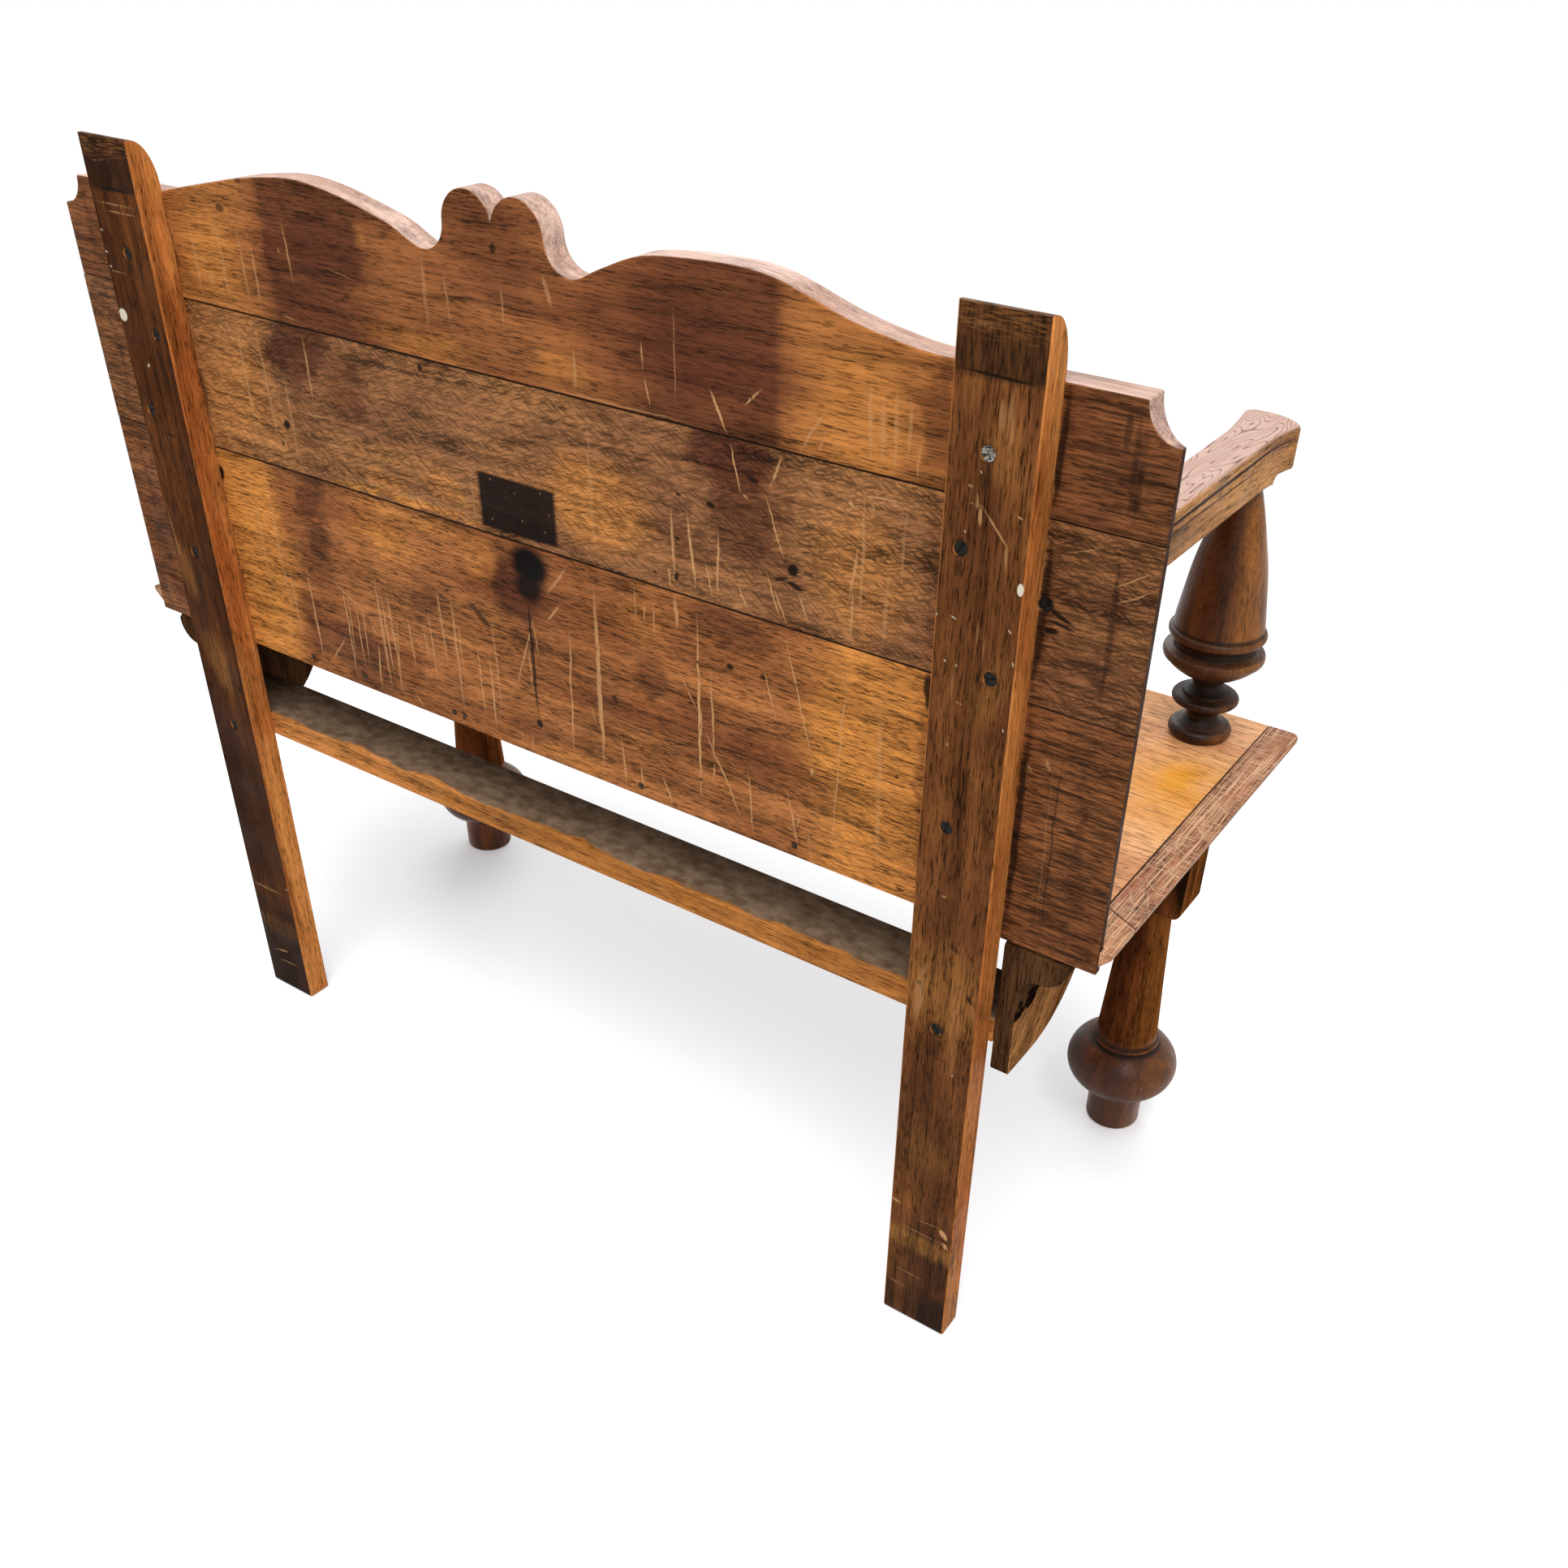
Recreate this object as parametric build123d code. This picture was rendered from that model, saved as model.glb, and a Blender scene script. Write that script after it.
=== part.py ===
from build123d import *
import os
from math import sqrt

# Small hall settle in quarter-sawn oak: two flat rear posts, a back of three boards with a
# sawn crest, a seat board with cross-grained ends, turned front legs and turned arm supports.
# Millimetres, +Z up, the front faces -Y, the origin is on the floor under the middle.

# Overall sizes
seat_width = 1096.0
overall_depth = 432.0
seat_height = 468.0
seat_thickness = 22.0

# Rear posts
post_width = 64.0
post_thickness = 25.0
post_inset = 112.0
post_rise = 43.0
post_top_round_depth = 22.0
post_top_round_height = 38.0
post_edge_wear = 1.2
post_foot_wear = 2.0

# Back boards and the sawn crest
back_inset = 10.0
back_thickness = 24.0
back_joint_gap = 0.4
bottom_board_height = 202.2
middle_board_height = 132.9
top_board_height = 85.9
crest_rise = 47.4
end_bevel_run = 27.0
end_bevel_edge = 7.0
cove_radius = 25.0
crest_offset = 10.8
lobe_radius = 25.8
lobe_spread = 24.8
valley_distance = 74.0
valley_drop = 48.4

# Seat ends
seat_end_width = 29.7
seat_joint_gap = 0.3
seat_edge_height = 4.5
seat_bevel_run = 17.0
seat_corner_radius = 9.0
patch_inner_length = 35.0
patch_outer_length = 16.0
wing_clearance = 0.4

# Rear rail and the brackets under the rear of the seat
rail_drop = 104.0
rail_thickness = 24.0
rail_depth = 62.0
bracket_inset = 86.0
bracket_thickness = 17.0
bracket_lip = 54.0
bracket_lip_edge = 8.0
bracket_ovolo_radius = 22.0
bracket_cove_radius = 15.0
bracket_height = 130.0
bracket_foot_length = 40.0
bracket_arc_radius = 92.0
bracket_top_wear = 5.0

# Aprons under the seat
side_apron_height = 50.0
front_apron_height = 60.0
front_apron_thickness = 20.0

# Turned front legs
leg_inset = 88.5
leg_setback = 65.2
head_width = 77.0
head_depth = 64.0
head_height = 154.0
head_corner_wear = 3.0
leg_neck_radius = 21.4
leg_shaft_radius = 31.8
leg_ring_radius = 34.0
leg_ring_height = 5.0
leg_ring_level = 109.0
ball_radius = 57.0
ball_half_height = 37.0
ball_edge_radius = 24.0
ball_level = 78.4
foot_radius = 28.0
foot_wear = 2.5

# Arms
arm_inset = 78.5
arm_rise = 278.0
arm_thickness = 43.0
arm_rear_half_width = 17.0
arm_waist_half_width = 19.0
arm_waist_setback = 66.0
arm_nose_half_width = 26.0
arm_outer_corner_setback = 20.0
arm_nose_thickness = 36.0
arm_nose_length = 46.0
arm_nose_cove_radius = 6.0
arm_nose_wear = 4.0
arm_flare_sag = 2.3
arm_nose_flat = 8.7

# Turned arm supports
support_setback = 51.2
base_bead_radius = 28.3
base_bead_height = 12.0
base_neck_radius = 13.5
base_neck_level = 21.0
disc_radius = 29.8
disc_level = 37.0
disc_height = 9.0
disc_step_radius = 21.0
disc_step_height = 3.0
cup_neck_radius = 13.5
cup_neck_level = 51.0
cup_wall_radius = 30.0
cup_wall_level = 65.0
cup_ring_radius = 44.6
cup_ring_level = 81.0
cup_ring_height = 9.0
arc_cuts = 4
recess_radius = 36.0
collar_radius = 42.6
collar_level = 101.5
collar_height = 8.0
body_radius = 39.5
body_shoulder_radius = 31.7
body_shoulder_share = 0.42
body_crown_radius = 23.6
body_crown_share = 0.69
body_top_radius = 12.0
tenon_radius = 9.0
tenon_length = 16.0
tenon_clearance = 0.2

# Screws and nails
screw_head_radius = 5.4
screw_shank_radius = 2.6
screw_length = 40.0
screw_sink = 0.8
screw_clearance = 0.15
arm_screw_length = 60.0
arm_screw_drop = 23.5
arm_screw_offset = 7.3
nail_side = 3.6
nail_length = 50.0

# Screw places from the top board down to the rail: offsets outwards as shares of the post's half
# width, and levels as shares of the height of the board behind
left_screw_shares = ((-0.1, 0.476), (-0.53, 0.815), (0.42, 0.172), (-0.31, 0.48), (-0.09, 0.5))
right_screw_shares = ((-0.03, 0.43), (-0.5, 0.781), (0.54, 0.232), (-0.01, 0.482), (-0.03, 0.5))

# Nail places as shares of the distance from the middle to the outside of a post
panel_nail_shares = (0.67, 0.51, 0.253, 0.225, -0.232, -0.583)

# The sawn humps beyond the valleys: places outwards as shares of the way from the valley to the
# back's end, and heights above the shoulder as shares of the lobes' height above it
left_hump_shares = (
    (0.0743, 0.28), (0.1252, 0.48), (0.2068, 0.6), (0.2884, 0.64), (0.3723, 0.59), (0.4946, 0.24),
    (0.5785, 0.075),
)
left_shoulder_share = 0.6737
left_valley_angle = 30
right_hump_shares = (
    (0.0562, 0.18), (0.1215, 0.37), (0.1904, 0.52), (0.2604, 0.625), (0.3186, 0.65), (0.3803, 0.6),
    (0.4611, 0.485), (0.5299, 0.35), (0.6011, 0.205), (0.6783, 0.04),
)
right_shoulder_share = 0.7507
right_valley_angle = 18
cut_overrun = 5.0

back_y = overall_depth / 2
front_y = -overall_depth / 2
panel_back_y = back_y - post_thickness
panel_front_y = panel_back_y - back_thickness
seat_bottom = seat_height - seat_thickness
seat_half = seat_width / 2
seat_inner_half = seat_half - seat_end_width
middle_board_bottom = seat_bottom + bottom_board_height
top_board_bottom = middle_board_bottom + middle_board_height
shoulder_height = top_board_bottom + top_board_height
lobe_top = shoulder_height + crest_rise
post_height = shoulder_height + post_rise
rail_bottom = seat_bottom - rail_drop
back_half = seat_half - back_inset
post_x = back_half - post_inset
leg_x = seat_half - leg_inset
leg_y = front_y + leg_setback
arm_x = seat_half - arm_inset
arm_top = seat_height + arm_rise
arm_bottom = arm_top - arm_thickness
support_y = front_y + support_setback
bracket_x = seat_half - bracket_inset

centred_above = (Align.CENTER, Align.CENTER, Align.MIN)
centred_below = (Align.CENTER, Align.CENTER, Align.MAX)

os.makedirs("parts", exist_ok=True)


def block(x_pair, y_pair, z_pair):
    """A plain board between two values on each axis."""
    sizes = [high - low for low, high in (x_pair, y_pair, z_pair)]
    centre = [(high + low) / 2 for low, high in (x_pair, y_pair, z_pair)]
    return Pos(*centre) * Box(*sizes)


def front_view(edges, y_rear, depth):
    """A solid whose X-Z outline runs from y_rear forwards by depth."""
    return Pos(0, y_rear, 0) * extrude(Plane.XZ * make_face(edges), depth)


def side_view(edges, x_start, width):
    """A solid whose Y-Z outline runs from x_start to the right by width."""
    return Pos(x_start, 0, 0) * extrude(Plane.YZ * make_face(edges), width)


def plan_view(edges, z_bottom, height):
    """A solid whose X-Y outline runs up from z_bottom by height."""
    return Pos(0, 0, z_bottom) * extrude(make_face(edges), height)


def arc_about(centre, radius, start, end):
    """The shorter arc about a centre, from start to end."""
    middle = (Vector(start) + Vector(end)) / 2 - Vector(centre)
    return ThreePointArc(start, Vector(centre) + middle.normalized() * radius, end)


def both_sides(shape):
    """The left piece, at -X, and its mirror image on the right."""
    return shape, mirror(shape, about=Plane.YZ)


def write(shape, name):
    export_step(shape, f"parts/{name}.step")


def bevel_y(x):
    """Front face of a back board at a distance x from the middle, near its end."""
    slope = (back_thickness - end_bevel_edge) / end_bevel_run
    return panel_front_y + max(x - (back_half - end_bevel_run), 0) * slope


def screw(length, clearance):
    """A countersunk screw along -Y with its head at y = 0, or the hole for it."""
    shank = screw_shank_radius + clearance
    head = screw_head_radius + clearance
    profile = Polyline(
        (0, 0), (head, 0), (shank, head - shank), (shank, length + clearance), (0, length + clearance),
        close=True,
    )
    return Rot(90, 0, 0) * revolve(Plane.XZ * make_face(profile), Axis.Z)


def nail(clearance):
    """A square cut nail driven flush along -Y from y = 0, or the hole for it."""
    side = nail_side + 2 * clearance
    return Rot(90, 0, 0) * Box(side, side, nail_length + clearance, align=centred_above)


def post_screw_places():
    """Screws through each post into the boards and the rail, left post first."""
    boards = (
        (top_board_bottom, top_board_height), (middle_board_bottom, middle_board_height),
        (middle_board_bottom, middle_board_height), (seat_bottom, bottom_board_height),
        (rail_bottom, rail_thickness),
    )
    return [
        (side * (post_x + out_share * post_width / 2), back_y - screw_sink, low + height * up_share)
        for side, shares in ((-1, left_screw_shares), (1, right_screw_shares))
        for (out_share, up_share), (low, height) in zip(shares, boards)
    ]


def arm_screw_places():
    """One screw through the back into the rear end of each arm."""
    x = arm_x - arm_screw_offset
    return [(side * x, panel_back_y - screw_sink, arm_top - arm_screw_drop) for side in (-1, 1)]


def panel_nail_places():
    """Nails through the bottom board into the rear edge of the seat."""
    level = seat_bottom + seat_thickness / 2
    reach = post_x + post_width / 2
    return [(share * reach, panel_back_y, level) for share in panel_nail_shares]


def fastener_holes():
    """All holes for screws and nails, cut from whatever they pass through."""
    counterbore = Cylinder(screw_head_radius + screw_clearance, screw_sink + cut_overrun, align=centred_above)
    post_hole = screw(screw_length, screw_clearance) + Rot(-90, 0, 0) * counterbore
    arm_hole = screw(arm_screw_length, screw_clearance) + Rot(-90, 0, 0) * counterbore
    nail_hole = nail(screw_clearance)
    holes = [Pos(*place) * post_hole for place in post_screw_places()]
    holes += [Pos(*place) * arm_hole for place in arm_screw_places()]
    holes += [Pos(*place) * nail_hole for place in panel_nail_places()]
    return holes


def rear_post():
    """The left post: a flat board whose top front corner is rounded over."""
    start = (panel_back_y, post_height - post_top_round_height)
    end = (panel_back_y + post_top_round_depth, post_height)
    edges = [
        Polyline(end, (back_y, post_height), (back_y, 0), (panel_back_y, 0), start),
        EllipticalCenterArc(
            (end[0], start[1]), post_top_round_depth, post_top_round_height,
            start_angle=90, arc_size=90,
        ),
    ]
    post = side_view(edges, -post_x - post_width / 2, post_width)
    rear_edges = post.edges().filter_by(Axis.Z).group_by(Axis.Y)[-1]
    post = chamfer(rear_edges, post_edge_wear)
    return chamfer(post.faces().sort_by(Axis.Z)[0].edges(), post_foot_wear)


def crest_side(side, hump_shares, shoulder_share, valley_angle):
    """Half of the sawn top, from the notch out to the coved corner: -1 is left, 1 is right."""
    lobe = Vector(crest_offset + side * lobe_spread, lobe_top - lobe_radius)
    notch_z = lobe.Y + sqrt(lobe_radius**2 - lobe_spread**2)
    reach = valley_distance - lobe_spread
    valley_radius = (reach**2 + valley_drop**2) / (2 * valley_drop) - lobe_radius
    valley = Vector(crest_offset + side * valley_distance, lobe_top - valley_drop + valley_radius)
    into_valley = lobe + (valley - lobe) * (lobe_radius / (lobe_radius + valley_radius))
    slope = Vector(side, 0).rotate(Axis.Z, side * valley_angle)
    out_of_valley = valley + Vector(0, -valley_radius).rotate(Axis.Z, side * valley_angle)
    run = side * back_half - valley.X
    humps = [(valley.X + run * x, shoulder_height + crest_rise * z) for x, z in hump_shares]
    shoulder = (valley.X + run * shoulder_share, shoulder_height)
    cove_top = (side * (back_half - cove_radius), shoulder_height)
    cove_end = (side * back_half, shoulder_height - cove_radius)
    corner = (side * back_half, shoulder_height)
    return [
        arc_about(lobe, lobe_radius, (crest_offset, notch_z), into_valley),
        arc_about(valley, valley_radius, into_valley, out_of_valley),
        Spline(out_of_valley, *humps, shoulder, tangents=(slope, Vector(side, 0))),
        Line(shoulder, cove_top),
        arc_about(corner, cove_radius, cove_top, cove_end),
        Line(cove_end, (side * back_half, top_board_bottom)),
    ]


def crest_outline():
    """The sawn top of the back: two lobes, valleys, humps, shoulders and coved corners."""
    left = crest_side(-1, left_hump_shares, left_shoulder_share, left_valley_angle)
    right = crest_side(1, right_hump_shares, right_shoulder_share, right_valley_angle)
    return left + right + [Line((back_half, top_board_bottom), (-back_half, top_board_bottom))]


def back_board(bottom, top):
    """A board of the back, its two ends bevelled on the front face."""
    full_half = back_half - end_bevel_run
    edge_y = panel_back_y - end_bevel_edge
    outline = Polyline(
        (-back_half, panel_back_y), (back_half, panel_back_y), (back_half, edge_y),
        (full_half, panel_front_y), (-full_half, panel_front_y), (-back_half, edge_y), close=True,
    )
    return plan_view(outline, bottom, top - bottom)


def crest_board():
    """The top board: the plain board cut to the sawn outline."""
    blank = back_board(top_board_bottom, lobe_top + cut_overrun)
    return blank & front_view(crest_outline(), panel_back_y + cut_overrun, back_thickness + 2 * cut_overrun)


def seat_front_profile(x_start, width):
    """The seat's section from front to rear, undercut along the front edge."""
    outline = Polyline(
        (front_y, seat_height), (back_y, seat_height), (back_y, seat_bottom),
        (front_y + seat_bevel_run, seat_bottom), (front_y, seat_height - seat_edge_height), close=True,
    )
    return side_view(outline, x_start, width)


def seat_board():
    """The wide seat board between the two end strips."""
    half = seat_inner_half - seat_joint_gap
    board = seat_front_profile(-half, 2 * half)
    board &= block((-half, half), (front_y, panel_front_y), (seat_bottom, seat_height))
    socket = Cylinder(tenon_radius + tenon_clearance, tenon_length + tenon_clearance, align=centred_below)
    for side in (-1, 1):
        board -= Pos(side * arm_x, support_y, seat_height) * socket
    return board


def seat_end_blank():
    """The left cross-grained end, undercut outside and in front, carried past the back."""
    start_x = -seat_half
    section = Polyline(
        (start_x, seat_height), (-seat_inner_half, seat_height), (-seat_inner_half, seat_bottom),
        (start_x + seat_bevel_run, seat_bottom), (start_x, seat_height - seat_edge_height), close=True,
    )
    wing_x = back_half + wing_clearance
    wing_y = panel_back_y - end_bevel_edge - wing_clearance
    inner_y = bevel_y(seat_inner_half) - wing_clearance
    corner = (start_x, front_y + seat_corner_radius)
    outline = [
        Polyline(
            corner, (start_x, panel_back_y), (-wing_x, panel_back_y), (-wing_x, wing_y),
            (-seat_inner_half, inner_y), (-seat_inner_half, front_y), (start_x + seat_corner_radius, front_y),
        ),
        arc_about(
            (start_x + seat_corner_radius, front_y + seat_corner_radius), seat_corner_radius,
            (start_x + seat_corner_radius, front_y), corner,
        ),
    ]
    end = front_view(section, panel_back_y, overall_depth)
    end &= seat_front_profile(start_x, seat_end_width)
    return end & plan_view(outline, seat_bottom, seat_thickness)


def seat_end_cut(gap):
    """Everything behind the slanted joint between the strip and its rear patch."""
    inner = (-seat_inner_half + cut_overrun, panel_front_y - patch_inner_length + gap)
    outer = (-seat_half - cut_overrun, panel_front_y - patch_outer_length + gap)
    outline = Polyline(inner, outer, (outer[0], back_y), (inner[0], back_y), close=True)
    return plan_view(outline, seat_bottom - cut_overrun, seat_thickness + 2 * cut_overrun)


def bracket_nose_y():
    """Where the curved bracket ends towards the front."""
    return panel_back_y - bracket_foot_length - bracket_arc_radius


def bracket():
    """The left bracket: a moulded lip over a stem, cut to a quarter curve at the front."""
    x_in = -bracket_x
    x_stem = x_in - bracket_thickness
    x_lip = x_in - bracket_lip
    z_low = seat_bottom - bracket_height
    ovolo = (x_lip + bracket_ovolo_radius, seat_bottom - bracket_lip_edge)
    ovolo_end = (ovolo[0], ovolo[1] - bracket_ovolo_radius)
    cove = (ovolo_end[0], ovolo_end[1] - bracket_cove_radius)
    cove_end = (x_stem, cove[1])
    section = [
        Polyline(cove_end, (x_stem, z_low), (x_in, z_low), (x_in, seat_bottom), (x_lip, seat_bottom),
                 (x_lip, ovolo[1])),
        arc_about(ovolo, bracket_ovolo_radius, (x_lip, ovolo[1]), ovolo_end),
        arc_about(cove, bracket_cove_radius, ovolo_end, cove_end),
    ]
    foot_y = panel_back_y - bracket_foot_length
    nose_y = bracket_nose_y()
    arc_centre = (foot_y, z_low + bracket_arc_radius)
    wear_z = seat_bottom - bracket_top_wear
    side = [
        Polyline(
            (nose_y, arc_centre[1]), (nose_y, seat_bottom), (panel_back_y - bracket_top_wear, seat_bottom),
            (panel_back_y, wear_z), (panel_back_y, z_low), (foot_y, z_low),
        ),
        arc_about(arc_centre, bracket_arc_radius, (foot_y, z_low), (nose_y, arc_centre[1])),
    ]
    depth = panel_back_y - nose_y
    return front_view(section, panel_back_y, depth) & side_view(side, x_lip, bracket_lip)


def side_apron():
    """The left apron, from the bracket forward to the leg's square head."""
    outer = -bracket_x - bracket_thickness
    rear_of_head = leg_y + head_depth / 2
    z_low = seat_bottom - side_apron_height
    return block((outer, -bracket_x), (rear_of_head, bracket_nose_y()), (z_low, seat_bottom))


def front_apron():
    """The apron between the two square heads, under the front of the seat."""
    reach = leg_x - head_width / 2
    half = front_apron_thickness / 2
    z_low = seat_bottom - front_apron_height
    return block((-reach, reach), (leg_y - half, leg_y + half), (z_low, seat_bottom))


def ball_outline():
    """Half the flattened ball's outline about its own middle, from its foot up to its shaft."""
    bulge = ball_radius - ball_edge_radius
    rise = ball_half_height - ball_edge_radius
    depth = (bulge**2 - rise**2) / (2 * rise)
    crown_radius = ball_half_height + depth
    blend = Vector(bulge, depth).normalized() * crown_radius - Vector(0, depth)
    low_meets = depth - sqrt(crown_radius**2 - foot_radius**2)
    high_meets = sqrt(crown_radius**2 - leg_shaft_radius**2) - depth
    low, high = (foot_radius, low_meets), (leg_shaft_radius, high_meets)
    low_blend, high_blend = (blend.X, -blend.Y), (blend.X, blend.Y)
    return low_meets, high_meets, [
        arc_about((0, depth), crown_radius, low, low_blend),
        arc_about((bulge, 0), ball_edge_radius, low_blend, high_blend),
        arc_about((0, -depth), crown_radius, high_blend, high),
    ]


def cut_arc(start, middle, end):
    """An arc in a few straight cuts, which keep a turned piece light where its parts are small."""
    arc = ThreePointArc(start, middle, end)
    return Polyline(*[arc @ (cut / arc_cuts) for cut in range(arc_cuts + 1)])


def front_leg():
    """The left leg: square head, tapered shaft, thin ring, flattened ball and round foot."""
    low_meets, high_meets, ball = ball_outline()
    ring_top = leg_ring_level + leg_ring_height
    head_bottom = seat_bottom - head_height
    outline = [
        Polyline(
            (0, 0), (foot_radius - foot_wear, 0), (foot_radius, foot_wear),
            (foot_radius, ball_level + low_meets),
        ),
        *(Pos(0, ball_level) * edge for edge in ball),
        Line((leg_shaft_radius, ball_level + high_meets), (leg_shaft_radius, leg_ring_level)),
        cut_arc(
            (leg_shaft_radius, leg_ring_level), (leg_ring_radius, leg_ring_level + leg_ring_height / 2),
            (leg_shaft_radius, ring_top),
        ),
        Polyline((leg_shaft_radius, ring_top), (leg_neck_radius, head_bottom), (0, head_bottom), (0, 0)),
    ]
    turned = revolve(Plane.XZ * make_face(outline), Axis.Z)
    head = Pos(0, 0, head_bottom) * Box(head_width, head_depth, head_height, align=centred_above)
    head = chamfer(head.edges().filter_by(Axis.Z), head_corner_wear)
    return Pos(-leg_x, leg_y, 0) * (turned + head)


def arm():
    """The left arm: a level bar that flares into a nose, undercut below the nose."""
    waist_y = front_y + arm_waist_setback
    corner_y = front_y + arm_outer_corner_setback
    rear, waist, nose = arm_rear_half_width, arm_waist_half_width, arm_nose_half_width
    flare_mid_y = (waist_y + corner_y) / 2
    inner_corner_y = front_y + arm_outer_corner_setback / 2
    inner_round = (nose + waist) / 2
    outline = [
        Polyline((-waist, waist_y), (-rear, panel_front_y), (rear, panel_front_y), (waist, waist_y)),
        ThreePointArc((waist, waist_y), (waist + arm_flare_sag, flare_mid_y), (nose, inner_corner_y)),
        ThreePointArc(
            (nose, inner_corner_y), (inner_round, front_y + arm_nose_wear / 2), (arm_nose_flat, front_y)
        ),
        ThreePointArc((arm_nose_flat, front_y), (-arm_nose_flat, front_y + arm_nose_wear), (-nose, corner_y)),
        ThreePointArc((-nose, corner_y), (-waist - arm_flare_sag, flare_mid_y), (-waist, waist_y)),
    ]
    nose_rear = front_y + arm_nose_length
    nose_bottom = arm_top - arm_nose_thickness
    side = [
        Polyline(
            (nose_rear, arm_bottom), (panel_front_y, arm_bottom), (panel_front_y, arm_top),
            (front_y, arm_top), (front_y, nose_bottom), (nose_rear - arm_nose_cove_radius, nose_bottom),
        ),
        arc_about(
            (nose_rear - arm_nose_cove_radius, arm_bottom), arm_nose_cove_radius,
            (nose_rear - arm_nose_cove_radius, nose_bottom), (nose_rear, arm_bottom),
        ),
    ]
    blank = Pos(-arm_x, 0, 0) * plan_view(outline, arm_bottom, arm_thickness)
    blank &= side_view(side, -arm_x - nose, 2 * nose)
    socket = Cylinder(tenon_radius + tenon_clearance, tenon_length + tenon_clearance, align=centred_above)
    blank -= Pos(-arm_x, support_y, arm_bottom) * socket
    return blank


def bead(flat, radius, low, height):
    """A turned bead's outline: out to its radius and back, from a level up by its height."""
    return cut_arc((flat, low), (radius, low + height / 2), (flat, low + height))


def arm_support():
    """The left support: beads, cup and collar below a tapering body, with round tenons."""
    top = arm_bottom - seat_height
    base_flat = base_bead_radius - base_bead_height / 2
    disc_low = disc_level - disc_height / 2
    disc_high = disc_level + disc_height / 2
    disc_flat = disc_radius - disc_height / 2
    step_high = disc_high + disc_step_height
    cup_low = cup_ring_level - cup_ring_height / 2
    cup_high = cup_ring_level + cup_ring_height / 2
    cup_flat = cup_ring_radius - cup_ring_height / 4
    cup_wall = (cup_wall_radius, cup_wall_level)
    collar_low = collar_level - collar_height / 2
    collar_high = collar_level + collar_height / 2
    shoulder_level = collar_high + (top - collar_high) * body_shoulder_share
    crown_level = collar_high + (top - collar_high) * body_crown_share
    edges = [
        Polyline(
            (0, 0), (0, -tenon_length), (tenon_radius, -tenon_length), (tenon_radius, 0), (base_flat, 0)
        ),
        bead(base_flat, base_bead_radius, 0, base_bead_height),
        cut_arc((base_flat, base_bead_height), (base_neck_radius, base_neck_level), (disc_flat, disc_low)),
        bead(disc_flat, disc_radius, disc_low, disc_height),
        Polyline((disc_flat, disc_high), (disc_step_radius, disc_high), (disc_step_radius, step_high)),
        cut_arc((disc_step_radius, step_high), (cup_neck_radius, cup_neck_level), cup_wall),
        Line(cup_wall, (cup_flat, cup_low)),
        bead(cup_flat, cup_ring_radius, cup_low, cup_ring_height),
        Polyline(
            (cup_flat, cup_high), (recess_radius, cup_high), (recess_radius, collar_low),
            (body_radius, collar_low),
        ),
        bead(body_radius, collar_radius, collar_low, collar_height),
        Line((body_radius, collar_high), (body_shoulder_radius, shoulder_level)),
        ThreePointArc(
            (body_shoulder_radius, shoulder_level), (body_crown_radius, crown_level), (body_top_radius, top)
        ),
        Polyline(
            (body_top_radius, top), (tenon_radius, top), (tenon_radius, top + tenon_length),
            (0, top + tenon_length), (0, 0),
        ),
    ]
    turned = revolve(Plane.XZ * make_face(edges), Axis.Z)
    return Pos(-arm_x, support_y, seat_height) * turned


holes = fastener_holes()


def drilled(shape):
    """The piece with every screw and nail hole that meets it."""
    box = shape.bounding_box()
    for hole in holes:
        other = hole.bounding_box()
        lows = zip(tuple(box.min), tuple(other.max))
        highs = zip(tuple(other.min), tuple(box.max))
        if all(low <= high for low, high in (*lows, *highs)):
            shape -= hole
    return shape


for piece, name in zip(both_sides(rear_post()), ("rear_post_left", "rear_post_right")):
    write(drilled(piece), name)

write(drilled(back_board(seat_bottom, middle_board_bottom - back_joint_gap)), "back_board_bottom")
write(drilled(back_board(middle_board_bottom, top_board_bottom - back_joint_gap)), "back_board_middle")
write(drilled(crest_board()), "back_board_top")

write(drilled(seat_board()), "seat_board")
end_blank = seat_end_blank()
write(end_blank - seat_end_cut(0), "seat_end_left")
write(end_blank & seat_end_cut(seat_joint_gap), "seat_end_patch")
write(both_sides(end_blank)[1], "seat_end_right")

rail_y = (panel_back_y - rail_depth, panel_back_y)
rail = block((-bracket_x, bracket_x), rail_y, (rail_bottom, rail_bottom + rail_thickness))
write(drilled(rail), "rear_rail")

for maker, name in (
    (bracket, "corner_bracket"), (side_apron, "side_apron"), (front_leg, "front_leg"),
    (arm, "arm"), (arm_support, "arm_support"),
):
    left, right = both_sides(maker())
    write(drilled(left), f"{name}_left")
    write(drilled(right), f"{name}_right")

write(front_apron(), "front_apron")

post_screw = screw(screw_length, 0)
arm_screw = screw(arm_screw_length, 0)
write(Compound([Pos(*place) * post_screw for place in post_screw_places()]), "post_screws")
write(Compound([Pos(*place) * arm_screw for place in arm_screw_places()]), "arm_screws")
write(Compound([Pos(*place) * nail(0) for place in panel_nail_places()]), "panel_nails")
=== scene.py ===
import bmesh
import bpy
import numpy as np
from mathutils import Matrix, Vector


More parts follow.
